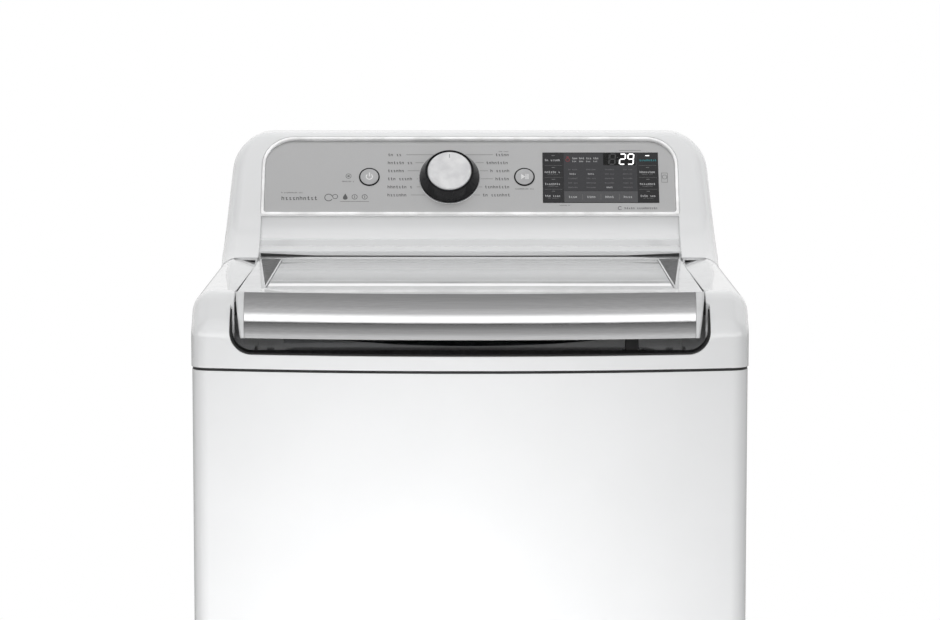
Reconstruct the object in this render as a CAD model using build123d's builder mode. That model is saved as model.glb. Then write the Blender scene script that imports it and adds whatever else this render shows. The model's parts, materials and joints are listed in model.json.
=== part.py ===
from build123d import *

import os
from math import asin, cos, radians, sin, sqrt, tan

# Top load washing machine, 27 inch class, as an assembly of separate pieces.
# Frame: +Z up, the front faces -Y, +X is the right-hand side seen from the front.
# The origin is on the floor, at the centre of the overall box. Lengths are millimetres.

# ---------------------------------------------------------------- driving dimensions
WIDTH = 686.0
DEPTH = 721.0
HEIGHT = 1130.0
FRONT = -DEPTH / 2
BACK = DEPTH / 2

BOW_R = 1700.0  # the front is an arc of this radius in plan
BOW_AXIS_Y = FRONT + BOW_R
BOW_SPREAD = 22.0  # degrees each side of centre, wider than the machine
CORNER_R = 27.0
CREASE_R = 34.0  # softens the creases where the front rolls back to the deck
WALL = 3.0  # moulded plastic wall
SHEET = 1.0  # cabinet steel

CABINET_BOTTOM = 38.0
CABINET_TOP = 872.5
CABINET_BACK = 341.0
COVER_BOTTOM = 876.0
DECK = 967.0
COVER_BACK = 346.0
ROLL_START = 926.0  # where the cover's front face rolls back to the deck

# lid well and tub mouth
WELL_HALF = 289.5
WELL_BACK = 158.0
WELL_FLOOR = 893.5
WELL_FRONT = -308.0
RECESS_HALF = 294.0
RECESS_R = 27.0
MOUTH_R = 232.0
MOUTH_BACK = 125.0
SKIRT_BOTTOM = 868.0

# lid
LID_HALF = 286.0
LID_FRONT = -341.0
LID_BACK = 147.0
LID_TOP = 968.0
LID_BOTTOM = 946.0
GLASS_HALF = 253.6
GLASS_FRONT = -265.6
GLASS_BACK = 119.6
HINGE_Y = 136.0
HINGE_Z = 951.5
PIN_R = 3.0
FASCIA_R = 66.0
FASCIA_Z = 930.6
FASCIA_APEX = -357.0
FASCIA_LOW = 913.0
FASCIA_HIGH = 968.6
FASCIA_HALF = 276.0

# console
PANEL_TILT = 34.5  # degrees that the control panel leans back
PANEL_FOOT = (219.0, 1022.0)  # Y, Z of the panel's lower edge
PANEL_HALF = 285.0
PANEL_LENGTH = 116.5
PANEL_R = 40.0
PANEL_SHEET = 2.5
TRIM = 4.5  # width of the trim round the panel
PROUD = 4.0  # the console's front stands this far out of the panel
CONSOLE_BACK = 346.0
CONSOLE_TOE = 140.0  # the console's foot reaches this far forward
APRON_FOOT = 160.0
CONSOLE_HALF = 340.0
CONSOLE_SHOULDER = 327.5
CONSOLE_TOP_R = 55.0
CONSOLE_EDGE_R = 20.0
PILLAR_INNER = 288.5
DIAL_X = -28.5
POWER_X = -140.0
START_X = 75.7
CONTROL_V = 58.0  # height of the controls up the panel
DIAL_R = 41.5
BUTTON_R = 12.6
DISPLAY_X, DISPLAY_V = 181.7, 57.0
DISPLAY_W, DISPLAY_H = 161.0, 81.0

# drum and drive, on one vertical axis
TUB_Y = -20.0
TUB_R = 288.0
TUB_TOP = 862.0
TUB_BOTTOM = 232.0
BASKET_R = 266.0
BASKET_BOTTOM = 262.0
BASKET_TOP = 800.0
RING_BOTTOM, RING_TOP = 796.0, 850.0
RING_INNER = 228.0
BEARING_R = 31.0
SHAFT_R, DRIVE_R = 15.0, 8.0
RUNNING = 0.05  # radial clearance of a running fit
SNUG = 0.02  # radial clearance of a fixed fit

# suspension
ROD_X = 256.0
ROD_R = 3.0
LUG_Z = 330.0
SPRING_FOOT = 215.0
BRACKET_Z = 840.0
SPRING_TURNS = 7

# motor, under the tub
MOTOR_Z = 124.0
STATOR_INNER, STATOR_OUTER = 62.0, 128.6
MAGNET_INNER, MAGNET_OUTER = 131.0, 137.9
TEETH = 24

# drain
DRAIN_X, DRAIN_Y = 150.0, 150.0
PUMP_TOP = 118.0
PUMP_R = 36.0
PUMP_WALL = 6.0
OUTLET_Z, OUTLET_R = 80.0, 11.0
SPIGOT_START, OUTLET_END = 343.0, 358.0  # the part of the outlet that takes the drain hose

# feet
FOOT_X, FOOT_FRONT, FOOT_REAR = 285.0, -272.0, 288.0
STEM_R = 4.95
BASE_Z = 39.0  # underside of the base plate

# dispenser
DRAWER_LEFT, DRAWER_RIGHT = -255.0, -105.0
DRAWER_LOW, DRAWER_HIGH = 903.0, 938.0

BOW_AXIS = Axis((0, BOW_AXIS_Y, 0), (0, 0, 1))
BOW_PLANE = Plane(
    origin=(0, BOW_AXIS_Y, 0),
    x_dir=(-sin(radians(BOW_SPREAD)), -cos(radians(BOW_SPREAD)), 0),
    z_dir=(-cos(radians(BOW_SPREAD)), sin(radians(BOW_SPREAD)), 0),
)
TUB_AXIS = Axis((0, TUB_Y, 0), (0, 0, 1))
TUB_PLANE = Plane(origin=(0, TUB_Y, 0), x_dir=(1, 0, 0), z_dir=(0, -1, 0))
UP_PANEL = (sin(radians(PANEL_TILT)), cos(radians(PANEL_TILT)))
OUT_OF_PANEL = (-cos(radians(PANEL_TILT)), sin(radians(PANEL_TILT)))
PANEL = Plane(origin=(0, *PANEL_FOOT), x_dir=(1, 0, 0), z_dir=(0, *OUT_OF_PANEL))


# ---------------------------------------------------------------- helpers
def save(piece, label):
    """Names a finished piece and writes it as one node."""
    piece.part.label = label
    export_step(piece.part, f"parts/{label}.step")


def level(z):
    """The horizontal plane at height z."""
    return Plane.XY.offset(z)


def upright(y):
    """The vertical plane across the machine at depth y. An extrude goes forward, and a negative one back."""
    return Plane.XZ.offset(-y)


def bow(y):
    """Distance from the bow axis of a point at depth y on the centre line."""
    return BOW_AXIS_Y - y


def bow_y(x, y_centre):
    """Depth, at width x, of the bowed line that is at y_centre on the centre line."""
    return BOW_AXIS_Y - sqrt(bow(y_centre) ** 2 - x**2)


def panel_point(v, w):
    """Y, Z of the point v up the panel and w out of it."""
    y = PANEL_FOOT[0] + v * UP_PANEL[0] + w * OUT_OF_PANEL[0]
    z = PANEL_FOOT[1] + v * UP_PANEL[1] + w * OUT_OF_PANEL[1]
    return (y, z)


def polygon(plane, points):
    """A straight-sided face on a plane."""
    with BuildSketch(plane) as outline:
        with BuildLine():
            Polyline(points, close=True)
        make_face()
    return outline.sketch


def rounded(plane, x, y, width, height, r):
    """A rectangle with round corners, centred on x, y of a plane."""
    with BuildSketch(plane) as outline:
        with Locations((x, y)):
            RectangleRounded(width, height, r)
    return outline.sketch


def hexagon(z, x, y, flats):
    """A hexagon across flats, at height z."""
    with BuildSketch(level(z)) as outline:
        with Locations((x, y)):
            RegularPolygon(flats / 2, 6, major_radius=False)
    return outline.sketch


def plan(z, inset, back):
    """The bowed plan of the machine, drawn in by inset, running back to depth back."""
    half = WIDTH / 2 - inset
    side_y = bow_y(half, FRONT + inset)
    with BuildSketch(level(z)) as outline:
        with BuildLine():
            ThreePointArc((-half, side_y), (0, FRONT + inset), (half, side_y))
            Polyline((half, side_y), (half, back), (-half, back), (-half, side_y))
        make_face()
        fillet(outline.vertices().group_by(Axis.Y)[0], max(CORNER_R - inset, 3))
    return outline.sketch


def block(x0, x1, y0, y1, z0, z1, mode=Mode.ADD):
    """A box between two corners."""
    with Locations(((x0 + x1) / 2, (y0 + y1) / 2, (z0 + z1) / 2)):
        Box(abs(x1 - x0), abs(y1 - y0), abs(z1 - z0), mode=mode)


def post(x, y, z0, z1, r, mode=Mode.ADD):
    """An upright cylinder."""
    with Locations((x, y, (z0 + z1) / 2)):
        Cylinder(r, z1 - z0, mode=mode)


def bar_x(x0, x1, y, z, r, mode=Mode.ADD):
    """A cylinder lying across the machine."""
    with Locations(((x0 + x1) / 2, y, z)):
        Cylinder(r, abs(x1 - x0), rotation=(0, 90, 0), mode=mode)


def bar_y(x, y0, y1, z, r, mode=Mode.ADD):
    """A cylinder lying front to back."""
    with Locations((x, (y0 + y1) / 2, z)):
        Cylinder(r, abs(y1 - y0), rotation=(90, 0, 0), mode=mode)


def bowed(points, mode=Mode.ADD):
    """The solid of a (y, z) outline carried round the bow axis."""
    outline = polygon(BOW_PLANE, [(bow(y), z) for y, z in points])
    revolve(outline, axis=BOW_AXIS, revolution_arc=2 * BOW_SPREAD, mode=mode)


def turned(points, mode=Mode.ADD):
    """The solid of a (radius, z) outline turned about the drum axis."""
    revolve(polygon(TUB_PLANE, points), axis=TUB_AXIS, mode=mode)


def ring(z0, z1, inner, outer, mode=Mode.ADD):
    """A plain ring about the drum axis."""
    turned([(inner, z0), (outer, z0), (outer, z1), (inner, z1)], mode)


def corners(x, y_front, y_rear):
    """The four (x, y) places of something that stands in each corner."""
    return [(sx * x, y) for y in (y_front, y_rear) for sx in (-1, 1)]


# ---------------------------------------------------------------- cabinet
def cabinet_shell():
    height = CABINET_TOP - CABINET_BOTTOM
    with BuildPart() as shell:
        extrude(plan(CABINET_BOTTOM, SHEET, CABINET_BACK), amount=height)
        inside = plan(CABINET_BOTTOM + SHEET, 2 * SHEET, CABINET_BACK - SHEET)
        extrude(inside, amount=height, mode=Mode.SUBTRACT)
        block(-322, 322, 300, 350, CABINET_BOTTOM + 12, CABINET_TOP + 1, Mode.SUBTRACT)
        extrude(plan(CABINET_BOTTOM - 1, 20, CABINET_BACK - 20), amount=10, mode=Mode.SUBTRACT)
    save(shell, "cabinet_shell")


SCREW_SPOTS = [(x, z) for x in (-332, 332) for z in (80, 340, 600, 850)]
SWAGES = (300, 520, 740)  # heights of the rear panel's stiffening ribs


def rear_panel():
    face = CABINET_BACK
    with BuildPart() as panel:
        block(-338, 338, face, face + 1.2, CABINET_BOTTOM + 3, CABINET_TOP - 1)
        for z in SWAGES:
            block(-220, 220, face, face + 3.6, z - 13, z + 13)
        fillet(panel.faces().filter_by(Axis.Y).group_by(Axis.Y)[-1].edges(), 2)
        for z in SWAGES:
            block(-216, 216, face - 1, face + 1.8, z - 9, z + 9, Mode.SUBTRACT)
        for z in range(110, 200, 12):
            block(-60, 60, face - 1, face + 2, z, z + 4, Mode.SUBTRACT)
        for x, z in SCREW_SPOTS:
            bar_y(x, face - 1, face + 2, z, 2 + RUNNING, Mode.SUBTRACT)
        bar_y(DRAIN_X, face - 1, face + 2, OUTLET_Z, OUTLET_R + RUNNING, Mode.SUBTRACT)
    save(panel, "rear_panel")


def cabinet_screws():
    face = CABINET_BACK + 1.2
    with BuildPart() as screws:
        for x, z in SCREW_SPOTS:
            bar_y(x, face, face + 1.6, z, 4)
            bar_y(x, face - 1.2, face, z, 2)
        for x, z in SCREW_SPOTS:
            block(x - 2.4, x + 2.4, face + 0.8, face + 3, z - 0.5, z + 0.5, Mode.SUBTRACT)
            block(x - 0.5, x + 0.5, face + 0.8, face + 3, z - 2.4, z + 2.4, Mode.SUBTRACT)
    save(screws, "cabinet_screws")


def base_frame():
    inner = 95.0
    with BuildPart() as base:
        extrude(plan(BASE_Z, 2.5, CABINET_BACK - 2), amount=2)
        extrude(plan(BASE_Z, inner - 2, CABINET_BACK - inner + 2), amount=24)
        extrude(plan(BASE_Z - 5, inner, CABINET_BACK - inner), amount=60, mode=Mode.SUBTRACT)
        block(DRAIN_X - 50, DRAIN_X + 50, -275, 250, BASE_Z, BASE_Z + 2)
        block(DRAIN_X - 50, DRAIN_X - 48, -275, 250, BASE_Z, BASE_Z + 10)
        block(DRAIN_X + 48, DRAIN_X + 50, -275, 250, BASE_Z, BASE_Z + 10)
        for x, y in corners(FOOT_X, FOOT_FRONT, FOOT_REAR):
            post(x, y, BASE_Z + 1, BASE_Z + 16, 10)
        for x, y in corners(FOOT_X, FOOT_FRONT, FOOT_REAR):
            post(x, y, BASE_Z - 1, BASE_Z + 17, STEM_R + RUNNING, Mode.SUBTRACT)
        extrude(plan(BASE_Z - 10, 2.5, CABINET_BACK - 1.2), amount=100, mode=Mode.INTERSECT)
    save(base, "base_frame")


def leveling_feet():
    spots = corners(FOOT_X, FOOT_FRONT, FOOT_REAR)
    for name, (x, y) in zip(("front_left", "front_right", "rear_left", "rear_right"), spots):
        with BuildPart() as foot:
            with Locations((x, y, 6)):
                Cone(22, 17, 12)
            fillet(foot.edges().sort_by(Axis.Z)[0], 1.5)
            extrude(hexagon(12, x, y, 17), amount=7)
            post(x, y, 12, 74, STEM_R)
            chamfer(foot.edges().group_by(Axis.Z)[-1], 1)
        save(foot, f"foot_{name}")


def foot_lock_nuts():
    with BuildPart() as nuts:
        for x, y in corners(FOOT_X, FOOT_FRONT, FOOT_REAR):
            extrude(hexagon(BASE_Z - 7, x, y, 17), amount=6.8)
            post(x, y, BASE_Z - 8, BASE_Z + 1, STEM_R + RUNNING, Mode.SUBTRACT)
    save(nuts, "foot_lock_nuts")


def corner_brackets():
    with BuildPart() as brackets:
        for x, y in corners(ROD_X, TUB_Y - ROD_X, TUB_Y + ROD_X):
            wall_x = 345.0 if x > 0 else -345.0
            near_x = 226.0 if x > 0 else -226.0
            far_y = 345.0 if y > 0 else -345.0
            near_y = y - 34 if y > 0 else y + 34
            block(near_x, wall_x, near_y, far_y, BRACKET_Z, BRACKET_Z + 3)
            block(near_x, wall_x, near_y, near_y + 3, BRACKET_Z - 20, BRACKET_Z + 3)
        extrude(plan(BRACKET_Z - 30, 2 * SHEET, CABINET_BACK - SHEET), amount=60, mode=Mode.INTERSECT)
        for x, y in corners(ROD_X, TUB_Y - ROD_X, TUB_Y + ROD_X):
            post(x, y, BRACKET_Z - 5, BRACKET_Z + 5, ROD_R + RUNNING, Mode.SUBTRACT)
    save(brackets, "corner_brackets")


# ---------------------------------------------------------------- top cover
def cover_profile(inset, bottom):
    """The top cover's side view, with soft creases where the front rolls back to the deck."""
    face = FRONT + inset
    top = DECK - inset
    slope = inset * tan(radians(22.5))
    back = COVER_BACK + 60
    points = [
        (face, bottom),
        (face, ROLL_START - slope),
        (FRONT + DECK - ROLL_START + slope, top),
        (back, top),
        (back, bottom),
    ]
    with BuildSketch(BOW_PLANE) as outline:
        with BuildLine():
            Polyline([(bow(y), z) for y, z in points], close=True)
        make_face()
        creases = outline.vertices().filter_by(lambda v: v.X > bow(back) + 1 and v.Y > bottom + 1)
        fillet(creases, CREASE_R - inset)
    return outline.sketch


def cover_form(inset, bottom):
    """The top cover's outside form, with every outside face drawn in by inset."""
    half = WIDTH / 2 - inset
    back = COVER_BACK - inset
    with BuildPart() as form:
        revolve(cover_profile(inset, bottom), axis=BOW_AXIS, revolution_arc=2 * BOW_SPREAD)
        block(-half, half, -400, back, bottom, DECK - inset, Mode.INTERSECT)
        sides = form.edges().filter_by(lambda e: abs(abs(e.center().X) - half) < 0.01)
        sides = sides.filter_by(lambda e: e.center().Z > bottom + 0.01)
        fillet(sides.filter_by(lambda e: e.center().Y < back - 1), CORNER_R - inset)
    return form.part


def mouth(z, grow):
    """The tub mouth, a circle cut off straight at the rear, grown by a wall."""
    with BuildSketch(level(z)) as outline:
        with Locations((0, TUB_Y)):
            Circle(MOUTH_R + grow)
        with Locations((0, MOUTH_BACK + grow + 100)):
            Rectangle(600, 200, mode=Mode.SUBTRACT)
    return outline.sketch


def shoulder_wedge(side, drop):
    """What lies above the slope from the deck down to the lid, wider towards the console."""
    inner = side * (WELL_HALF - 2)
    top = DECK + 4
    front_edge, rear_edge = side * 293.0, side * 326.0
    front_low, rear_low = 965.4 - drop, 960.0 - drop
    deck = DECK + 0.05 - drop
    with BuildPart() as wedge:
        front = polygon(upright(-318), [
            (inner, front_low), (front_edge, deck), (front_edge, top), (inner, top)])
        rear = polygon(upright(CONSOLE_TOE + 1), [
            (inner, rear_low), (rear_edge, deck), (rear_edge, top), (inner, top)])
        loft([front, rear], ruled=True)
    return wedge.part


def cover_void():
    """The hollow under the top cover."""
    wall_half = WELL_HALF + WALL
    form = cover_form(WALL, COVER_BOTTOM - 6)
    wedges = [shoulder_wedge(side, WALL) for side in (-1, 1)]
    with BuildPart() as void:
        add(form)
        block(-wall_half, wall_half, WELL_FRONT, WELL_BACK + WALL,
              WELL_FLOOR - WALL, DECK + 5, Mode.SUBTRACT)
        block(-RECESS_HALF - WALL, RECESS_HALF + WALL, FRONT - 10, WELL_FRONT + 0.01,
              WELL_FLOOR - WALL, DECK + 5, Mode.SUBTRACT)
        extrude(mouth(SKIRT_BOTTOM, WALL), amount=WELL_FLOOR - SKIRT_BOTTOM, mode=Mode.SUBTRACT)
        add(wedges, mode=Mode.SUBTRACT)
    return void.part


def top_cover():
    form = cover_form(0, COVER_BOTTOM)
    void = cover_void()
    wedges = [shoulder_wedge(side, 0) for side in (-1, 1)]
    with BuildPart() as cover:
        add(form)
        add(void, mode=Mode.SUBTRACT)
        extrude(plan(862, 2.5, COVER_BACK - 9), amount=20)
        extrude(plan(861, 5.5, COVER_BACK - 12), amount=21.5, mode=Mode.SUBTRACT)
        extrude(mouth(SKIRT_BOTTOM, WALL), amount=WELL_FLOOR - WALL - SKIRT_BOTTOM)
        extrude(mouth(SKIRT_BOTTOM - 1, 0), amount=60, mode=Mode.SUBTRACT)
        block(-WELL_HALF, WELL_HALF, WELL_FRONT - 0.01, WELL_BACK, WELL_FLOOR, DECK + 5, Mode.SUBTRACT)
        recess = rounded(upright(FRONT - 5), 0, WELL_FLOOR + 60, 2 * RECESS_HALF, 120, RECESS_R)
        extrude(recess, amount=-(WELL_FRONT - FRONT + 5), mode=Mode.SUBTRACT)
        add(wedges, mode=Mode.SUBTRACT)
        for side in (-1, 1):
            bar_x(side * 285, side * 296, HINGE_Y, HINGE_Z, 5, Mode.SUBTRACT)
        block(DRAWER_LEFT, DRAWER_RIGHT, WELL_BACK - 1, WELL_BACK + WALL + 1,
              DRAWER_LOW, DRAWER_HIGH, Mode.SUBTRACT)
        block(186, 214, -297, -271, WELL_FLOOR - WALL - 1, WELL_FLOOR + 1, Mode.SUBTRACT)
        block(100, 290, 215, 320, DECK - WALL - 1, DECK + 1, Mode.SUBTRACT)
        block(-250, -110, 215, 320, DECK - WALL - 1, DECK + 1, Mode.SUBTRACT)
    save(cover, "top_cover")


def lid_recess_liner():
    low = WELL_FLOOR
    half = RECESS_HALF
    form = cover_form(4, low - 5)
    with BuildPart() as liner:
        extrude(rounded(upright(FRONT), 0, low + 60, 2 * half, 120, RECESS_R), amount=FRONT - WELL_FRONT + 1)
        extrude(rounded(upright(FRONT - 5), 0, low + 62, 2 * half - 4, 120, RECESS_R - 2), amount=-70,
                mode=Mode.SUBTRACT)
        add(form, mode=Mode.INTERSECT)
    save(liner, "lid_recess_liner")


def cover_seals():
    """The seal on the cabinet's edge, a strip along each side of the well, and one behind the lid."""
    with BuildPart() as seals:
        extrude(plan(CABINET_TOP, 1.5, COVER_BACK - 8), amount=COVER_BOTTOM - CABINET_TOP)
        extrude(plan(CABINET_TOP - 1, 2.5, COVER_BACK - 9), amount=10, mode=Mode.SUBTRACT)
        for side in (-1, 1):
            block(side * (WELL_HALF - 1.6), side * WELL_HALF, -305, 115, 938, 955)
        rear = polygon(upright(APRON_FOOT), [
            (-286, DECK), (-286, DECK + 5), (-212, DECK + 1.8), (0, DECK + 1.2), (212, DECK + 1.8),
            (286, DECK + 5), (286, DECK)])
        extrude(rear, amount=1.8)
    save(seals, "cover_seals")


def lid_hinge_bushes():
    with BuildPart() as bushes:
        for side in (-1, 1):
            bar_x(side * WELL_HALF, side * (WELL_HALF + WALL), HINGE_Y, HINGE_Z, 5)
            bar_x(side * (WELL_HALF + WALL), side * 294.5, HINGE_Y, HINGE_Z, 5.6)
            bar_x(side * 288, side * 296, HINGE_Y, HINGE_Z, PIN_R + RUNNING, Mode.SUBTRACT)
    save(bushes, "lid_hinge_bushes")


def lid_dampers():
    with BuildPart() as dampers:
        for side in (-1, 1):
            bar_x(side * 297, side * 318, HINGE_Y, HINGE_Z, 6.2)
            block(side * 299, side * 316, HINGE_Y - 4, HINGE_Y + 4, HINGE_Z - 16, HINGE_Z - 4)
            bar_x(side * 296, side * 313, HINGE_Y, HINGE_Z, PIN_R + RUNNING, Mode.SUBTRACT)
    save(dampers, "lid_dampers")


def lid_lock():
    with BuildPart() as housing:
        block(172, 246, -301, -267, 868, 890.4)
        fillet(housing.edges().filter_by(Axis.Z), 3)
        block(185, 215, -298, -270, 871, 895, Mode.SUBTRACT)
        block(214, 243, -286.3, -279.7, 882.7, 889.3, Mode.SUBTRACT)
    save(housing, "lid_lock_housing")
    with BuildPart() as bolt:
        block(216, 238, -286, -280, 883, 889)
        chamfer(bolt.edges().filter_by(Axis.Z).group_by(Axis.X)[0], 1.5)
    save(bolt, "lid_lock_bolt")


# ---------------------------------------------------------------- lid
def corner_inlay(side, gap, low, high):
    """The tapered inlay beside the glass, wide at the rear, drawn in by a gap."""
    points = [(255.8 + gap, -236 + 30 * gap), (282.6 - gap, 119 - gap), (255.8 + gap, 119 - gap)]
    extrude(polygon(level(low), [(side * x, y) for x, y in points]), amount=high - low,
            mode=Mode.SUBTRACT if gap == 0 else Mode.ADD)


def lid_frame():
    ledge = 4.6
    with BuildPart() as frame:
        bowed([(LID_FRONT, LID_BOTTOM), (LID_FRONT, LID_TOP), (LID_BACK + 60, LID_TOP),
               (LID_BACK + 60, LID_BOTTOM)])
        block(-LID_HALF, LID_HALF, -400, LID_BACK, LID_BOTTOM, LID_TOP, Mode.INTERSECT)
        fillet(frame.edges().group_by(Axis.Z)[-1], 2)
        block(-282, 282, -312, 118, LID_BOTTOM - 1, LID_TOP - 3.4, Mode.SUBTRACT)
        block(-258, 258, 117, 144, LID_BOTTOM - 1, LID_TOP - 3.4, Mode.SUBTRACT)
        block(-257, 257, -269, 123, LID_BOTTOM, LID_TOP - 1)
        block(-GLASS_HALF - 0.3, GLASS_HALF + 0.3, GLASS_FRONT - 0.3, GLASS_BACK + 0.3,
              LID_TOP - 5.6, LID_TOP + 1, Mode.SUBTRACT)
        block(-GLASS_HALF + ledge, GLASS_HALF - ledge, GLASS_FRONT + ledge, GLASS_BACK - ledge,
              LID_BOTTOM - 1, LID_TOP + 1, Mode.SUBTRACT)
        for side in (-1, 1):
            bar_x(side * 262, side * 290, HINGE_Y, HINGE_Z, PIN_R + SNUG, Mode.SUBTRACT)
            corner_inlay(side, 0, LID_TOP - 1.6, LID_TOP + 1)
    save(frame, "lid_frame")


def lid_corner_trims():
    with BuildPart() as trims:
        for side in (-1, 1):
            corner_inlay(side, 0.3, LID_TOP - 1.6, LID_TOP - 0.1)
    save(trims, "lid_corner_trims")


def lid_glass():
    with BuildPart() as glass:
        block(-GLASS_HALF, GLASS_HALF, GLASS_FRONT, GLASS_BACK, LID_TOP - 5.6, LID_TOP - 0.8)
        fillet(glass.edges().filter_by(Axis.Z), 2)
        chamfer(glass.edges().group_by(Axis.Z)[-1], 0.6)
    save(glass, "lid_glass")


def lid_inner_frame():
    with BuildPart() as inner:
        extrude(rounded(level(943), 0, -97, 567, 430, 8), amount=3)
        extrude(rounded(level(917), 0, -293, 548, 38, 6), amount=27)
        extrude(rounded(level(914), 0, -293, 540, 30, 4), amount=27, mode=Mode.SUBTRACT)
        extrude(rounded(level(940), 0, -72, 480, 360, 10), amount=10, mode=Mode.SUBTRACT)
        block(184, 216, -305, -275, 917, 942)
    save(inner, "lid_inner_frame")


def lid_gasket():
    with BuildPart() as gasket:
        extrude(rounded(level(939.8), 0, -72, 500, 380, 20), amount=3.2)
        extrude(rounded(level(938), 0, -72, 488, 368, 14), amount=8, mode=Mode.SUBTRACT)
        fillet(gasket.edges().group_by(Axis.Z)[0], 1.2)
        for side in (-1, 1):
            post(side * 255, -293, 909, 917, 5)
            post(side * 268, 70, 935, 943, 5)
    save(gasket, "lid_gasket")


def fascia_arc(r):
    """Three points of the handle's section, r from its centre, low to high."""
    centre = bow(FASCIA_APEX + FASCIA_R)
    low = asin((FASCIA_LOW - FASCIA_Z) / r)
    high = asin((FASCIA_HIGH - FASCIA_Z) / r)
    return [(centre + r * cos(a), FASCIA_Z + r * sin(a)) for a in (low, (low + high) / 2, high)]


def lid_handle_fascia():
    thick = 2.6
    outer = fascia_arc(FASCIA_R)
    inner = fascia_arc(FASCIA_R - thick)
    back = bow(-312)
    with BuildPart() as fascia:
        with BuildSketch(BOW_PLANE) as section:
            with BuildLine():
                ThreePointArc(*outer)
                Line(outer[2], inner[2])
                ThreePointArc(*inner[::-1])
                Line(inner[0], outer[0])
            make_face()
        revolve(axis=BOW_AXIS, revolution_arc=2 * BOW_SPREAD)
        lip = [(back, FASCIA_LOW), (inner[0][0] + 1.5, FASCIA_LOW), (inner[0][0] + 1.5, FASCIA_LOW + 2.4),
               (back, FASCIA_LOW + 2.4)]
        revolve(polygon(BOW_PLANE, lip), axis=BOW_AXIS, revolution_arc=2 * BOW_SPREAD)
        block(-FASCIA_HALF, FASCIA_HALF, -400, -250, 900, 980, Mode.INTERSECT)
        block(-300, 300, -305, -250, 900, 980, Mode.SUBTRACT)
    save(fascia, "lid_handle_fascia")


def lid_handle_ends():
    outer = fascia_arc(FASCIA_R)
    step, back = bow(LID_FRONT - 0.4), bow(-337)
    side, side_low = 287.4, 281.5
    with BuildPart() as ends:
        with BuildSketch(BOW_PLANE) as section:
            with BuildLine():
                ThreePointArc(*outer)
                Polyline(outer[2], (step, FASCIA_HIGH), (step, LID_BOTTOM - 0.4),
                         (back, LID_BOTTOM - 0.4), (back, FASCIA_LOW), outer[0])
            make_face()
        revolve(axis=BOW_AXIS, revolution_arc=2 * BOW_SPREAD)
        leaning = polygon(upright(-250), [
            (-side, FASCIA_HIGH), (side, FASCIA_HIGH), (side_low, FASCIA_LOW), (-side_low, FASCIA_LOW)])
        extrude(leaning, amount=150, mode=Mode.INTERSECT)
        block(-FASCIA_HALF - 0.3, FASCIA_HALF + 0.3, -400, -250, 900, 980, Mode.SUBTRACT)
        rim = ends.edges().filter_by(lambda e: abs(e.center().X) > side_low - 1)
        rim = rim.filter_by(lambda e: e.length > 40 and e.center().Y < -325)
        fillet(rim, 4)
    save(ends, "lid_handle_ends")


def lid_hinge_pins():
    with BuildPart() as pins:
        for side in (-1, 1):
            bar_x(side * 262.5, side * 312, HINGE_Y, HINGE_Z, PIN_R)
    save(pins, "lid_hinge_pins")


def lid_striker():
    with BuildPart() as striker:
        block(192, 208, -293, -275, 877, 917)
        fillet(striker.edges().filter_by(Axis.X).group_by(Axis.Z)[0], 4)
        block(185, 215, -288, -278, 881.5, 890.5, Mode.SUBTRACT)
    save(striker, "lid_striker")


# ---------------------------------------------------------------- console
def console_outline(y, inset):
    """The console's front view: leaning sides and round upper corners."""
    base, shoulder = CONSOLE_HALF - inset, CONSOLE_SHOULDER - inset
    top = HEIGHT - inset
    with BuildSketch(upright(y)) as outline:
        with BuildLine():
            Polyline((-base, 900), (-base, DECK), (-shoulder, top), (shoulder, top), (base, DECK),
                     (base, 900), close=True)
        make_face()
        fillet(outline.vertices().group_by(Axis.Y)[-1], CONSOLE_TOP_R - inset)
    return outline.sketch


def console_form():
    """The console's outside form: a leaning front that sweeps forward at its foot."""
    foot = panel_point(-2, PROUD)
    top = panel_point((HEIGHT - PANEL_FOOT[1] - PROUD * OUT_OF_PANEL[1]) / UP_PANEL[1], PROUD)
    with BuildPart() as form:
        with BuildSketch(Plane.YZ) as section:
            with BuildLine():
                sweep_forward = TangentArc(foot, (CONSOLE_TOE, DECK), tangent=(-UP_PANEL[0], -UP_PANEL[1]))
                leaving = sweep_forward % 1
                toe = (CONSOLE_TOE + 50 * leaving.X, DECK + 50 * leaving.Y)
                Polyline((CONSOLE_TOE, DECK), toe, (toe[0], 900), (CONSOLE_BACK, 900), (CONSOLE_BACK, HEIGHT),
                         top, foot)
            make_face()
        extrude(amount=WIDTH / 2 + 10, both=True)
        extrude(console_outline(60, 0), amount=-320, mode=Mode.INTERSECT)
        rim = form.edges().filter_by(lambda e: e.center().Y < CONSOLE_BACK - 4)
        rim = rim.filter_by(lambda e: abs((e % 0.5).Y) < 0.95 and e.center().Z > DECK - 30)
        rim = rim.filter_by(lambda e: abs(e.center().X) > 200 or e.center().Z > HEIGHT - 2)
        fillet(rim, CONSOLE_EDGE_R)
    return form.part


def console_void():
    """The hollow inside the console, open below and behind."""
    with BuildPart() as void:
        section = polygon(Plane.YZ, [
            (203, 900), (203, 984), panel_point(-10, -6), panel_point(118, -6),
            (300, HEIGHT - WALL), (CONSOLE_BACK + 5, HEIGHT - WALL), (CONSOLE_BACK + 5, 900)])
        extrude(section, amount=WIDTH / 2, both=True)
        extrude(console_outline(190, 6), amount=-200, mode=Mode.INTERSECT)
    return void.part


def panel_outline(w, half, low, high, r):
    """The control panel's outline on the plane w out of the panel: round upper corners."""
    with BuildSketch(PANEL.offset(w)) as outline:
        with BuildLine():
            Polyline((-half, low), (half, low), (half, high), (-half, high), close=True)
        make_face()
        fillet(outline.vertices().group_by(Axis.Y)[-1], r)
        fillet(outline.vertices().group_by(Axis.Y)[0], 4)
    return outline.sketch


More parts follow.
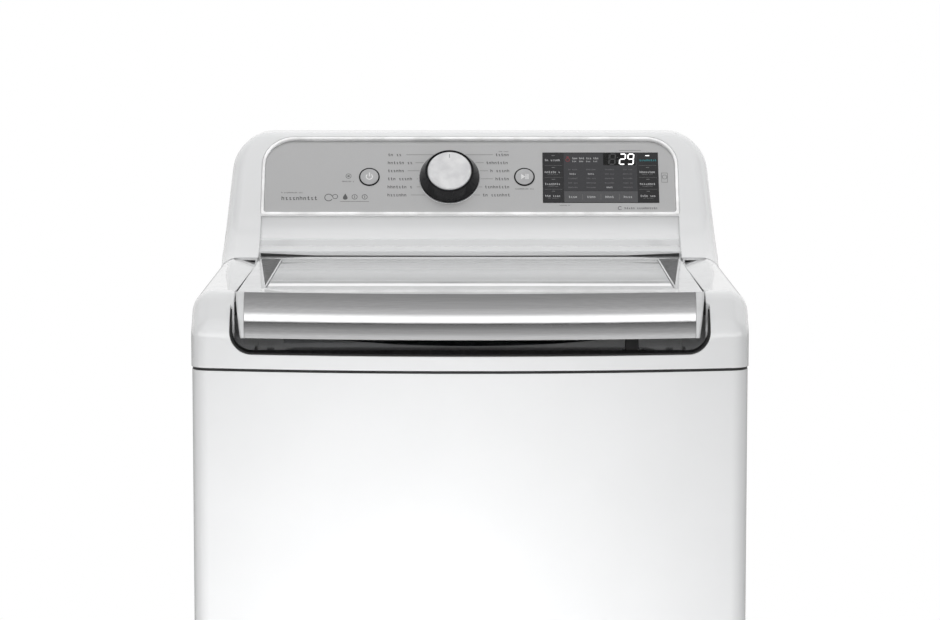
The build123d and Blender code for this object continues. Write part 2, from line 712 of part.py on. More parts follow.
def apron_cut():
    """What is cut from the console's foot between its pillars to leave the apron."""
    out = (214 + 60 * OUT_OF_PANEL[0], 1017 + 60 * OUT_OF_PANEL[1])
    with BuildPart() as cut:
        with BuildSketch(Plane.YZ) as section:
            with BuildLine():
                Polyline((APRON_FOOT, 900), (APRON_FOOT, 974.5), (190, 978.8), (190, 988))
                ThreePointArc((190, 988), (206, 996.5), (214, 1017))
                Polyline((214, 1017), out, (60, out[1]), (60, 900), (APRON_FOOT, 900))
            make_face()
        extrude(amount=PILLAR_INNER, both=True)
    return cut.part


def console_housing():
    grow = TRIM + 0.1
    form = console_form()
    cuts = [console_void(), cover_form(0, COVER_BOTTOM), apron_cut()]
    with BuildPart() as housing:
        add(form)
        add(cuts, mode=Mode.SUBTRACT)
        seat = panel_outline(-PANEL_SHEET, PANEL_HALF + grow, -0.5 - grow, PANEL_LENGTH + grow,
                             PANEL_R + grow)
        extrude(seat, amount=40, mode=Mode.SUBTRACT)
        extrude(panel_outline(-14, PANEL_HALF - 12, 9, PANEL_LENGTH - 9, 30), amount=20, mode=Mode.SUBTRACT)
        extrude(console_outline(343.8, 3), amount=-5, mode=Mode.SUBTRACT)
    save(housing, "console_housing")


INLETS = [(180.0, 1005.0), (240.0, 1005.0)]


def console_rear_cover():
    with BuildPart() as cover:
        extrude(console_outline(343.8, 3.2), amount=-2.2)
        block(-400, 400, 300, 400, 860, DECK + 0.2, Mode.SUBTRACT)
        for x, z in INLETS:
            bar_y(x, 340, 350, z, 15, Mode.SUBTRACT)
        for z in range(1050, 1090, 10):
            block(-120, 120, 340, 350, z, z + 4, Mode.SUBTRACT)
    save(cover, "console_rear_cover")


def control_panel():
    with BuildPart() as panel:
        extrude(panel_outline(-PANEL_SHEET, PANEL_HALF, 0, PANEL_LENGTH, PANEL_R), amount=PANEL_SHEET)
        with Locations(PANEL):
            with Locations((DIAL_X, CONTROL_V, 0)):
                Cylinder(6, 20, mode=Mode.SUBTRACT)
            with Locations((POWER_X, CONTROL_V, 0), (START_X, CONTROL_V, 0)):
                Cylinder(14.4 + RUNNING, 20, mode=Mode.SUBTRACT)
            with Locations((DISPLAY_X, DISPLAY_V, 0)):
                Box(DISPLAY_W + 0.4, DISPLAY_H + 0.4, 20, mode=Mode.SUBTRACT)
    save(panel, "control_panel")


def panel_trim():
    with BuildPart() as trim:
        extrude(panel_outline(-PANEL_SHEET, PANEL_HALF + TRIM, -0.5 - TRIM, PANEL_LENGTH + TRIM,
                              PANEL_R + TRIM), amount=PANEL_SHEET + 4.6)
        extrude(panel_outline(-PANEL_SHEET - 1, PANEL_HALF + 0.2, -0.2, PANEL_LENGTH + 0.2, PANEL_R + 0.2),
                amount=20, mode=Mode.SUBTRACT)
        crest = trim.faces().sort_by(lambda f: f.center().dot(PANEL.z_dir))[-1]
        fillet(crest.edges(), 1.6)
    save(trim, "panel_trim")


def dial():
    with BuildPart() as skirt:
        with Locations(PANEL):
            with Locations((DIAL_X, CONTROL_V, 8.7)):
                Cone(DIAL_R, 33.5, 16.2)
            with Locations((DIAL_X, CONTROL_V, -2.5)):
                Cylinder(PIN_R, 17)
            with Locations((DIAL_X, CONTROL_V, 13.5)):
                Cylinder(30.8, 12, mode=Mode.SUBTRACT)
            with Locations((DIAL_X, CONTROL_V, 10)):
                Cylinder(5.2, 12, mode=Mode.SUBTRACT)
            with Locations((DIAL_X, CONTROL_V, 3)):
                Cylinder(5.2, 4)
    save(skirt, "dial_ring")
    with BuildPart() as cap:
        with Locations(PANEL):
            with Locations((DIAL_X, CONTROL_V, 13.1)):
                Cylinder(30.5, 11)
            crown = cap.faces().sort_by(lambda f: f.center().dot(PANEL.z_dir))[-1]
            fillet(crown.edges(), 3)
            with Locations((DIAL_X, CONTROL_V, 7.6)):
                Cylinder(5.1, 5.2)
    save(cap, "dial_cap")


def button(x, label):
    with BuildPart() as key:
        with Locations(PANEL):
            with Locations((x, CONTROL_V, -2.2)):
                Cylinder(BUTTON_R, 7)
            face = key.faces().sort_by(lambda f: f.center().dot(PANEL.z_dir))[-1]
            fillet(face.edges(), 0.6)
            with Locations((x, CONTROL_V, -6.6)):
                Cylinder(2.5, 2)
    save(key, label)


def button_bezels():
    with BuildPart() as bezels:
        with Locations(PANEL):
            with Locations((POWER_X, CONTROL_V, -0.9), (START_X, CONTROL_V, -0.9)):
                Cylinder(14.4, 3.2)
                Cylinder(BUTTON_R + RUNNING, 6, mode=Mode.SUBTRACT)
    save(bezels, "button_bezels")


def display_glass():
    with BuildPart() as glass:
        with Locations(PANEL):
            with Locations((DISPLAY_X, DISPLAY_V, -1.05)):
                Box(DISPLAY_W, DISPLAY_H, 2.9)
    save(glass, "display_glass")


def control_board():
    board_w = -13.4
    with BuildPart() as board:
        with Locations(PANEL):
            with Locations((50, 57, board_w)):
                Box(440, 84, 1.6)
            with Locations((DISPLAY_X, DISPLAY_V, board_w + 5.6)):
                Box(DISPLAY_W - 6, DISPLAY_H - 6, 9.6)
            with Locations((DIAL_X, CONTROL_V, board_w + 3.6)):
                Box(16, 16, 5.6)
            with Locations((POWER_X, CONTROL_V, board_w + 2.3), (START_X, CONTROL_V, board_w + 2.3)):
                Box(7, 7, 3)
            with Locations((-110, 30, board_w + 2), (-90, 84, board_w + 2), (20, 28, board_w + 2)):
                Box(14, 10, 2.4)
            with Locations((DIAL_X, CONTROL_V, board_w + 4)):
                Cylinder(PIN_R + RUNNING, 8, mode=Mode.SUBTRACT)
    save(board, "control_board")


def water_inlet_valve():
    with BuildPart() as valve:
        block(160, 260, 318, 343.6, 990, 1020)
        fillet(valve.edges().filter_by(Axis.Y), 4)
        for x, z in INLETS:
            bar_y(x, 343, BACK, z, 13.25)
            bar_y(x, 343, 346.2, z, 14.8)
            post(x, 325, 1019, 1046, 11)
        for x, z in INLETS:
            bar_y(x, 346, BACK + 1, z, 9.5, Mode.SUBTRACT)
        chamfer(valve.edges().filter_by(GeomType.CIRCLE).group_by(Axis.Y)[-1], 0.8)
    save(valve, "water_inlet_valve")


def fill_hose():
    with BuildPart() as hose:
        with BuildLine() as path:
            FilletPolyline((159.6, 330, 1000), (100, 330, 1000), (-180, 290, 992), (-180, 290, 962.6),
                           radius=20)
        with BuildSketch(Plane(origin=(159.6, 330, 1000), z_dir=(-1, 0, 0))) as bore:
            Circle(8)
            Circle(5.5, mode=Mode.SUBTRACT)
        sweep()
    save(hose, "fill_hose")


# ---------------------------------------------------------------- dispenser
def dispenser_housing():
    rear = WELL_BACK + WALL
    with BuildPart() as housing:
        block(DRAWER_LEFT - 6, DRAWER_RIGHT + 6, rear, 326, 896, 962)
        block(DRAWER_LEFT - 3, DRAWER_RIGHT + 3, rear - 1, 323, 900, 945, Mode.SUBTRACT)
        block(DRAWER_LEFT - 3, DRAWER_RIGHT + 3, rear + 3, 323, 948, 959, Mode.SUBTRACT)
        for x in range(-236, -120, 18):
            for y in range(190, 310, 24):
                post(x, y, 940, 950, 2, Mode.SUBTRACT)
        post(-180, 290, 955, 965, 5.5, Mode.SUBTRACT)
    save(housing, "dispenser_housing")


def detergent_drawer():
    left, right = DRAWER_LEFT + 3, DRAWER_RIGHT - 3
    low, high = DRAWER_LOW + 1.5, DRAWER_HIGH - 1.5
    with BuildPart() as drawer:
        block(left, right, 157, 312, low, high)
        block(left + 2, -181, 161, 310, low + 2, high + 1, Mode.SUBTRACT)
        block(-179, right - 2, 161, 236, low + 2, high + 1, Mode.SUBTRACT)
        block(-179, right - 2, 238, 310, low + 2, high + 1, Mode.SUBTRACT)
        block(left - 2, right + 2, 153.6, 157.6, low, high)
        fillet(drawer.edges().filter_by(Axis.Y).filter_by(lambda e: e.center().Y < 157 and e.length < 5), 1.5)
        block(-200, -160, 150, 156, low - 1, low + 7, Mode.SUBTRACT)
    save(drawer, "detergent_drawer")


# ---------------------------------------------------------------- tub and suspension
def outer_tub():
    with BuildPart() as tub:
        turned([(32, TUB_BOTTOM), (TUB_R, TUB_BOTTOM), (TUB_R, TUB_TOP), (TUB_R - WALL, TUB_TOP),
                (TUB_R - WALL, TUB_BOTTOM + WALL), (32, TUB_BOTTOM + WALL)])
        rims = tub.edges().filter_by(GeomType.CIRCLE).filter_by(lambda e: e.radius > 200)
        fillet(rims.group_by(Axis.Z)[0], 8)
        for x, y in corners(ROD_X, TUB_Y - ROD_X, TUB_Y + ROD_X):
            turn = 45 if x * (y - TUB_Y) > 0 else -45
            with Locations((x * 0.91, TUB_Y + (y - TUB_Y) * 0.91, LUG_Z + 5)):
                Box(86, 46, 10, rotation=(0, 0, turn))
        post(0, TUB_Y, TUB_BOTTOM + 10, TUB_TOP + 10, TUB_R - WALL, Mode.SUBTRACT)
        for x, y in corners(ROD_X, TUB_Y - ROD_X, TUB_Y + ROD_X):
            post(x, y, LUG_Z - 5, LUG_Z + 15, ROD_R + RUNNING, Mode.SUBTRACT)
        post(DRAIN_X, DRAIN_Y, TUB_BOTTOM - 5, TUB_BOTTOM + 10, 18, Mode.SUBTRACT)
    save(tub, "outer_tub")


def tub_cover():
    with BuildPart() as cover:
        turned([(237, 866), (291, 862), (291, 852), (TUB_R + 0.3, 852), (TUB_R + 0.3, TUB_TOP),
                (237, TUB_TOP + 1), (237, 866)])
        ring(858, 868, 237, 240)
    save(cover, "tub_cover")


def suspension_rods():
    with BuildPart() as rods:
        for x, y in corners(ROD_X, TUB_Y - ROD_X, TUB_Y + ROD_X):
            post(x, y, 205, 850, ROD_R)
            post(x, y, BRACKET_Z + 3, BRACKET_Z + 10, 9)
            post(x, y, 205, SPRING_FOOT, 17)
        rims = rods.edges().filter_by(GeomType.CIRCLE).filter_by(lambda e: e.radius > 8)
        fillet(rims.filter_by(lambda e: abs(e.center().Z - SPRING_FOOT) > 1), 1.5)
    save(rods, "suspension_rods")


def suspension_springs():
    wire = 2.2
    height = LUG_Z - SPRING_FOOT - 2 * wire - 0.2
    with BuildPart() as springs:
        coil = Helix(pitch=height / SPRING_TURNS, height=height, radius=13)
        start = Plane(origin=coil @ 0, z_dir=coil % 0)
        with BuildSketch(start) as wire_section:
            Circle(wire)
        spring = sweep(wire_section.sketch, path=coil, mode=Mode.PRIVATE)
        for x, y in corners(ROD_X, TUB_Y - ROD_X, TUB_Y + ROD_X):
            add(spring.moved(Location((x, y, SPRING_FOOT + wire + 0.1))))
    save(springs, "suspension_springs")


# ---------------------------------------------------------------- drum and drive
def basket():
    skin = 1.2
    with BuildPart() as drum:
        turned([(20, BASKET_BOTTOM), (BASKET_R, BASKET_BOTTOM), (BASKET_R, BASKET_TOP),
                (BASKET_R - skin, BASKET_TOP), (BASKET_R - skin, BASKET_BOTTOM + skin),
                (20, BASKET_BOTTOM + skin)])
        with Locations((0, TUB_Y, 0)):
            for z in range(380, 760, 60):
                with PolarLocations(BASKET_R, 24):
                    with Locations((0, 0, z)):
                        Cylinder(2.5, 8, rotation=(0, 90, 0), mode=Mode.SUBTRACT)
    save(drum, "basket")


def balance_ring():
    with BuildPart() as balance:
        turned([(RING_INNER, RING_BOTTOM + 30), (BASKET_R - 1.4, RING_BOTTOM),
                (BASKET_R - 1.4, BASKET_TOP + 0.2), (BASKET_R + 3, BASKET_TOP + 0.2),
                (BASKET_R + 3, RING_TOP - 4), (BASKET_R - 2, RING_TOP), (RING_INNER + 6, RING_TOP),
                (RING_INNER, RING_TOP - 6)])
    save(balance, "balance_ring")


def basket_hub():
    with BuildPart() as hub:
        ring(238, 290, SHAFT_R + SNUG, 26)
        ring(250, BASKET_BOTTOM, 26, 60)
        for angle in range(0, 360, 60):
            a = radians(angle)
            with Locations((120 * cos(a), TUB_Y + 120 * sin(a), 255)):
                Box(160, 26, 14, rotation=(0, 0, angle))
        ring(251, BASKET_BOTTOM, 190, 212)
        ring(BASKET_BOTTOM, 275, 19.9, 80, Mode.SUBTRACT)
        ring(230, 290, 0.5, SHAFT_R + SNUG, Mode.SUBTRACT)
    save(hub, "basket_hub")


def basket_shaft():
    with BuildPart() as shaft:
        ring(120, 288, DRIVE_R + RUNNING, SHAFT_R)
        rims = shaft.edges().filter_by(GeomType.CIRCLE)
        chamfer(rims.filter_by(lambda e: abs(e.radius - SHAFT_R) < 0.1), 1)
    save(shaft, "basket_shaft")


def impeller_vane():
    """One vane, along +X from the impeller's middle."""
    with BuildPart() as vane:
        side = polygon(Plane.XZ.offset(9), [
            (34, 299), (214, 296), (214, 304), (150, 322), (70, 338), (34, 340)])
        extrude(side, amount=-18)
    return vane.part


def impeller():
    disc_r = 232.0
    vane = impeller_vane()
    with BuildPart() as plate:
        turned([(0.01, 296), (60, 296), (disc_r - 8, 291), (disc_r, 296), (disc_r, 306), (disc_r - 6, 306),
                (disc_r - 12, 298), (60, 303), (44, 312), (0.01, 312)])
        with Locations((0, TUB_Y, 330)):
            Cone(42, 30, 36)
        fillet(plate.faces().sort_by(Axis.Z)[-1].edges(), 8)
        for angle in range(0, 360, 60):
            add(vane.moved(Location((0, TUB_Y, 0), (0, 0, angle))))
        ring(290, 345.9, DRIVE_R + SNUG, DRIVE_R + SNUG + 8)
        ring(280, 331, 0.01, DRIVE_R + SNUG, Mode.SUBTRACT)
    save(plate, "impeller")


def drive_shaft():
    with BuildPart() as shaft:
        post(0, TUB_Y, 78, 330, DRIVE_R)
        extrude(hexagon(74, 0, TUB_Y, 26), amount=10.6)
        chamfer(shaft.edges().group_by(Axis.Z)[-1], 1)
    save(shaft, "drive_shaft")


def bearing_housing():
    with BuildPart() as housing:
        turned([(24, 141), (95, 141), (95, 147), (45, 153), (45, 220), (200, 226), (200, 231.9),
                (BEARING_R + RUNNING, 231.9), (BEARING_R + RUNNING, 204.9), (27, 204.9), (27, 174.1),
                (BEARING_R + RUNNING, 174.1), (BEARING_R + RUNNING, 158), (24, 158)])
        for angle in range(0, 360, 60):
            a = radians(angle)
            with Locations((115 * cos(a), TUB_Y + 115 * sin(a), 214)):
                Box(150, 6, 24, rotation=(0, 0, angle))
        ring(195, 231.9, 0.5, BEARING_R + RUNNING, Mode.SUBTRACT)
    save(housing, "bearing_housing")


def shaft_bearings():
    with BuildPart() as bearings:
        for z in (158, 205):
            ring(z, z + 16, SHAFT_R + RUNNING, 19.5)
            ring(z, z + 16, 26.5, BEARING_R)
            ring(z + 4, z + 12, 19, 27)
        ring(222, 231, SHAFT_R + RUNNING, BEARING_R)
        ring(223, 230, 20, 28, Mode.SUBTRACT)
    save(bearings, "shaft_bearings")


def stator():
    stack = 31.0
    coil_r = 107.6
    with BuildPart() as core:
        ring(108, 140.8, STATOR_INNER, 92)
        with Locations((0, TUB_Y, MOTOR_Z)):
            with PolarLocations(109, TEETH):
                Box(36, 9, stack)
            with PolarLocations(126, TEETH):
                Box(5, 24, stack)
        ring(100, 150, STATOR_OUTER, 150, Mode.SUBTRACT)
    save(core, "stator_core")
    with BuildPart() as coils:
        with Locations((0, TUB_Y, MOTOR_Z)):
            with PolarLocations(coil_r, TEETH):
                Box(25, 15.4, stack + 3)
        with Locations((0, TUB_Y, MOTOR_Z)):
            with PolarLocations(coil_r, TEETH):
                Box(40, 9.3, stack + 0.3, mode=Mode.SUBTRACT)
    save(coils, "stator_coils")


def rotor():
    cup_r = 141.0
    with BuildPart() as cup:
        turned([(DRIVE_R + SNUG, 85), (cup_r, 85), (cup_r, 143), (cup_r - 3, 143), (cup_r - 3, 88),
                (22, 88), (20, 100), (DRIVE_R + SNUG, 100)])
        with Locations((0, TUB_Y, 86)):
            with PolarLocations(75, 12):
                Cylinder(11, 20, mode=Mode.SUBTRACT)
    save(cup, "rotor_cup")
    with BuildPart() as magnets:
        ring(106, 142, MAGNET_INNER, MAGNET_OUTER)
        with Locations((0, TUB_Y, MOTOR_Z)):
            with PolarLocations((MAGNET_INNER + MAGNET_OUTER) / 2, TEETH):
                Box(12, 1.6, 60, mode=Mode.SUBTRACT)
    save(magnets, "rotor_magnets")


# ---------------------------------------------------------------- drain
def drain_pump():
    with BuildPart() as pump:
        post(DRAIN_X, DRAIN_Y, 44, 92, PUMP_R)
        post(DRAIN_X, DRAIN_Y, BASE_Z + 2, 50, PUMP_R + 8)
        post(DRAIN_X, DRAIN_Y, 90, PUMP_TOP, 20)
        bar_y(DRAIN_X, DRAIN_Y, SPIGOT_START, OUTLET_Z, OUTLET_R - 1)
        bar_y(DRAIN_X, SPIGOT_START, OUTLET_END, OUTLET_Z, OUTLET_R)
        bodies = pump.edges().filter_by(GeomType.CIRCLE).filter_by(lambda e: abs(e.radius - PUMP_R) < 0.1)
        fillet(bodies.group_by(Axis.Z)[-1], 4)
        post(DRAIN_X, DRAIN_Y, 66, 88, PUMP_R - PUMP_WALL, Mode.SUBTRACT)
        post(DRAIN_X, DRAIN_Y, OUTLET_Z, PUMP_TOP + 5, 17, Mode.SUBTRACT)
        bar_y(DRAIN_X, DRAIN_Y, OUTLET_END + 4, OUTLET_Z, OUTLET_R - 3, Mode.SUBTRACT)
    save(pump, "drain_pump")


def drain_pump_rotor():
    with BuildPart() as rotor_piece:
        post(DRAIN_X, DRAIN_Y, 66.5, 69.5, 26)
        for angle in (0, 60, 120):
            with Locations((DRAIN_X, DRAIN_Y, 75)):
                Box(50, 3, 12, rotation=(0, 0, angle))
        post(DRAIN_X, DRAIN_Y, 66.5, 83, 6)
    save(rotor_piece, "drain_pump_rotor")


def drain_bellows():
    axis = Axis((DRAIN_X, DRAIN_Y, 0), (0, 0, 1))
    plane = Plane(origin=(DRAIN_X, DRAIN_Y, 0), x_dir=(1, 0, 0), z_dir=(0, -1, 0))
    outer, inner = [], []
    for i in range(11):
        z = PUMP_TOP + 0.2 + i * (TUB_BOTTOM - PUMP_TOP - 0.4) / 10
        wave = 0 if i % 2 == 0 else 4
        outer.append((20 + wave, z))
        inner.append((18 + wave, z))
    with BuildPart() as bellows:
        revolve(polygon(plane, outer + inner[::-1]), axis=axis)
    save(bellows, "drain_bellows")


if __name__ == "__main__":
    os.makedirs("parts", exist_ok=True)
    cabinet_shell()
    rear_panel()
    cabinet_screws()
    base_frame()
    leveling_feet()
    foot_lock_nuts()
    corner_brackets()
    top_cover()
    lid_recess_liner()
    cover_seals()
    lid_hinge_bushes()
    lid_dampers()
    lid_lock()
    lid_frame()
    lid_corner_trims()
    lid_glass()
    lid_inner_frame()
    lid_gasket()
    lid_handle_fascia()
    lid_handle_ends()
    lid_hinge_pins()
    lid_striker()
    console_housing()
    console_rear_cover()
    control_panel()
    panel_trim()
    dial()
    button(POWER_X, "power_button")
    button(START_X, "start_button")
    button_bezels()
    display_glass()
    control_board()
    water_inlet_valve()
    fill_hose()
    dispenser_housing()
    detergent_drawer()
    outer_tub()
    tub_cover()
    suspension_rods()
    suspension_springs()
    basket()
    balance_ring()
    basket_hub()
    basket_shaft()
    impeller()
    drive_shaft()
    bearing_housing()
    shaft_bearings()
    stator()
    rotor()
    drain_pump()
    drain_pump_rotor()
    drain_bellows()
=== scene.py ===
"""Looks, light and camera of a top load washing machine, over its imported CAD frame."""

import json
from math import cos, pi, radians, sin

import bmesh
import bpy
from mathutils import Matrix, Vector


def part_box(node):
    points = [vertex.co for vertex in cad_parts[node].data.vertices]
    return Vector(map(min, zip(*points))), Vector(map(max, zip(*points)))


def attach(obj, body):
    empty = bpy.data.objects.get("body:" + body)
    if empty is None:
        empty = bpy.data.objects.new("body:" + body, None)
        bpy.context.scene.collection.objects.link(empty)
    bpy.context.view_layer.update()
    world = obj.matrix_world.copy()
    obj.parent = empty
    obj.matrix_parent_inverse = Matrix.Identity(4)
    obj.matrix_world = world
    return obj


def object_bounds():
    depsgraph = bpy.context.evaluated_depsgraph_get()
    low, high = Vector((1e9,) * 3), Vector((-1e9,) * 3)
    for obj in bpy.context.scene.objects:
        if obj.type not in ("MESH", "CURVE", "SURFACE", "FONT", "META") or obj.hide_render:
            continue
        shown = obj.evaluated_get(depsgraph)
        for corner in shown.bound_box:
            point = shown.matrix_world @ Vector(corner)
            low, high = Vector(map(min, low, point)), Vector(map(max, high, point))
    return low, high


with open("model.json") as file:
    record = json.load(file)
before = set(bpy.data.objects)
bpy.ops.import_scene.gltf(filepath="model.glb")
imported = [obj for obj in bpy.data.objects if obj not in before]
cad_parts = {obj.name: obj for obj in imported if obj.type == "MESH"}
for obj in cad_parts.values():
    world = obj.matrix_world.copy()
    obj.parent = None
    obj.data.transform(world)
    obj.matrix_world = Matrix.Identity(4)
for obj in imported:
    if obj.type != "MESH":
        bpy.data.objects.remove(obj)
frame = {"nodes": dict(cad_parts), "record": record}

CAD_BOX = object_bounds()
CAD_LOW, CAD_HIGH = CAD_BOX
NODES = frame["nodes"]
MM = 0.001

# ---------------------------------------------------------------- places read from the frame
GLASS_LOW, GLASS_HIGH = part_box("lid_glass")
PANEL_LOW, PANEL_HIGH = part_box("control_panel")
PANEL_TILT = radians(34.5)
PANEL_SHEET = 2.5 * MM
PANEL_LENGTH = (PANEL_HIGH.z - PANEL_LOW.z - PANEL_SHEET * sin(PANEL_TILT)) / cos(PANEL_TILT)
PANEL_FOOT = Vector((0, PANEL_LOW.y, PANEL_HIGH.z - PANEL_LENGTH * cos(PANEL_TILT)))
UP_PANEL = Vector((0, sin(PANEL_TILT), cos(PANEL_TILT)))
OUT_OF_PANEL = Vector((0, -cos(PANEL_TILT), sin(PANEL_TILT)))


def panel_point(across, up, out=0.0):
    """A point of the row frame from millimetres across, up and out of the control panel."""
    return PANEL_FOOT + Vector((across * MM, 0, 0)) + UP_PANEL * up * MM + OUT_OF_PANEL * out * MM


def on_panel(node):
    """Millimetres across and up the panel of a node's middle."""
    low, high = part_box(node)
    centre = (low + high) / 2
    return centre.x / MM, (centre - PANEL_FOOT).dot(UP_PANEL) / MM


DIAL_X, DIAL_V = on_panel("dial_ring")
POWER_X, KEY_V = on_panel("power_button")
START_X, _ = on_panel("start_button")
DISPLAY_X, DISPLAY_V = on_panel("display_glass")
DISPLAY_LOW, DISPLAY_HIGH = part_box("display_glass")
DISPLAY_W = (DISPLAY_HIGH.x - DISPLAY_LOW.x) / MM
DISPLAY_H = 81.0
DIAL_R = (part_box("dial_ring")[1].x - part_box("dial_ring")[0].x) / MM / 2

# how far print stands out of the panel, in millimetres
PRINT = 0.1  # the thickness of all ink and icons
ON_FILM = 0.02
KEY_FACE = 1.35
DIAL_FACE = 18.62
DISPLAY_FACE = 0.4
SECOND_LAYER = DISPLAY_FACE + 0.12  # over ink that is on the display already
THIRD_LAYER = DISPLAY_FACE + 0.24


# ---------------------------------------------------------------- shader building
BEVEL_SAMPLES = 6  # rays of the node that rounds sharp edges
MIX_A, MIX_B, MIX_RESULT = 6, 7, 2  # the Mix node's colour sockets


def add_node(tree, kind, **settings):
    """A new shader node, with its own settings."""
    made = tree.nodes.new(kind)
    for key, value in settings.items():
        setattr(made, key, value)
    return made


class Look:
    """A Principled material, with short calls that wire what varies over its surface."""

    def __init__(self, name, color, roughness, metallic=0.0, coat=0.0, ior=1.5):
        self.material = bpy.data.materials.new(name)
        self.material.use_nodes = True
        self.tree = self.material.node_tree
        self.shader = self.tree.nodes["Principled BSDF"]
        self.color = (*color, 1.0)
        self.set("Base Color", self.color)
        self.set("Roughness", roughness)
        self.set("Metallic", metallic)
        self.set("Coat Weight", coat)
        self.set("Coat Roughness", 0.04)
        self.set("IOR", ior)
        self.place = self.node("ShaderNodeTexCoord").outputs["Object"]
        self.normal = None

    def set(self, socket, value):
        self.shader.inputs[socket].default_value = value

    def node(self, kind, **settings):
        return add_node(self.tree, kind, **settings)

    def link(self, output, socket):
        self.tree.links.new(output, socket)

    def stretched(self, stretch):
        """The object's own coordinates, scaled along each axis."""
        mapping = self.node("ShaderNodeMapping")
        mapping.inputs["Scale"].default_value = stretch
        self.link(self.place, mapping.inputs["Vector"])
        return mapping.outputs["Vector"]

    def noise(self, scale, detail=3.0, stretch=(1, 1, 1)):
        """A cloudy pattern, with so many features to the metre."""
        made = self.node("ShaderNodeTexNoise")
        made.inputs["Scale"].default_value = scale
        made.inputs["Detail"].default_value = detail
        self.link(self.stretched(stretch), made.inputs["Vector"])
        return made.outputs["Fac"]

    def cells(self, scale):
        """Flat-shaded cells, such as zinc spangle."""
        made = self.node("ShaderNodeTexVoronoi")
        made.inputs["Scale"].default_value = scale
        self.link(self.place, made.inputs["Vector"])
        split = self.node("ShaderNodeSeparateColor")
        self.link(made.outputs["Color"], split.inputs["Color"])
        return split.outputs["Red"]

    def spread(self, pattern, low, high, start=0.35, end=0.65):
        """The pattern's span from start to end, taken to low and high."""
        made = self.node("ShaderNodeMapRange")
        self.link(pattern, made.inputs["Value"])
        made.inputs["From Min"].default_value = start
        made.inputs["From Max"].default_value = end
        made.inputs["To Min"].default_value = low
        made.inputs["To Max"].default_value = high
        return made.outputs["Result"]

    def mottle(self, pattern, other, start=0.35, end=0.65):
        """The colour wanders between the base colour and another."""
        mix = self.node("ShaderNodeMix", data_type="RGBA")
        mix.inputs[MIX_A].default_value = self.color
        mix.inputs[MIX_B].default_value = (*other, 1.0)
        self.link(self.spread(pattern, 0.0, 1.0, start, end), mix.inputs["Factor"])
        self.link(mix.outputs[MIX_RESULT], self.shader.inputs["Base Color"])
        return self

    def polish(self, pattern, low, high):
        """The roughness wanders between two values."""
        self.link(self.spread(pattern, low, high), self.shader.inputs["Roughness"])
        return self

    def soften(self, radius):
        """Sharp edges catch the light as if they were rounded to this radius."""
        bevel = self.node("ShaderNodeBevel", samples=BEVEL_SAMPLES)
        bevel.inputs["Radius"].default_value = radius
        self.normal = bevel.outputs["Normal"]
        self.link(self.normal, self.shader.inputs["Normal"])
        return self

    def crown(self, low, high, rise):
        """A bump that makes a flat surface look domed from front to back, by rise in metres."""
        split = self.node("ShaderNodeSeparateXYZ")
        self.link(self.place, split.inputs[0])
        across = self.node("ShaderNodeMapRange")
        across.inputs["From Min"].default_value = low.y
        across.inputs["From Max"].default_value = high.y
        across.inputs["To Min"].default_value = -1.0
        self.link(split.outputs["Y"], across.inputs["Value"])
        square = self.node("ShaderNodeMath", operation="MULTIPLY")
        self.link(across.outputs["Result"], square.inputs[0])
        self.link(across.outputs["Result"], square.inputs[1])
        return self.bump(square.outputs[0], -rise)

    def bump(self, pattern, height):
        """The pattern stands out of the surface by height, in metres."""
        made = self.node("ShaderNodeBump")
        made.inputs["Distance"].default_value = height
        made.inputs["Strength"].default_value = 1.0
        self.link(pattern, made.inputs["Height"])
        if self.normal is not None:
            self.link(self.normal, made.inputs["Normal"])
        self.normal = made.outputs["Normal"]
        self.link(self.normal, self.shader.inputs["Normal"])
        return self


def enamel(name, color, edge):
    """Baked white enamel or glossy white moulding, with a faint orange peel."""
    look = Look(name, color, 0.16, coat=1.0)
    cloud = look.noise(9, 2)
    tint = tuple(c * 0.985 for c in color)
    look.mottle(cloud, tint).polish(look.noise(30, 2), 0.13, 0.19)
    look.soften(edge)
    return look.bump(look.noise(420, 2), 0.0015 * MM)


def moulding(name, color, roughness, grain=0.03, edge=0.8):
    """Satin moulded plastic with a spark-eroded grain."""
    look = Look(name, color, roughness)
    tint = tuple(min(c * 1.12 + 0.004, 1.0) for c in color)
    look.mottle(look.noise(55, 4), tint)
    look.polish(look.noise(200, 3), roughness * 0.85, roughness * 1.15)
    look.soften(edge * MM)
    return look.bump(look.noise(2600, 2), grain * MM)


def gloss(name, color, edge=0.6):
    """Polished plastic, with a trace of handling marks in its gloss."""
    look = Look(name, color, 0.12, ior=1.36)
    look.mottle(look.noise(40, 3), tuple(c * 1.3 + 0.002 for c in color))
    look.polish(look.noise(90, 4), 0.09, 0.16)
    look.soften(edge * MM)
    return look.bump(look.noise(300, 2), 0.001 * MM)


def brushed(name, color, roughness, stretch):
    """Metal with fine lines along the axis whose stretch is smallest."""
    look = Look(name, color, roughness, metallic=1.0)
    lines = look.noise(900, 3, stretch)
    look.mottle(lines, tuple(c * 0.82 for c in color))
    look.polish(lines, roughness * 0.8, roughness * 1.25)
    look.soften(0.5 * MM)
    return look.bump(lines, 0.01 * MM)


def zinc(name, color):
    """Galvanised sheet with its spangle."""
    look = Look(name, color, 0.38, metallic=1.0)
    spangle = look.cells(70)
    look.mottle(spangle, tuple(c * 0.78 for c in color), 0.1, 0.9)
    look.polish(spangle, 0.3, 0.5)
    look.soften(0.5 * MM)
    return look.bump(look.noise(400, 2), 0.01 * MM)


def cast(name, color, metallic=1.0):
    """Sand-cast or pressed rough metal."""
    look = Look(name, color, 0.5, metallic=metallic)
    look.mottle(look.noise(120, 5), tuple(c * 0.7 for c in color))
    look.polish(look.noise(250, 3), 0.42, 0.62)
    look.soften(1.0 * MM)
    return look.bump(look.noise(900, 4), 0.08 * MM)


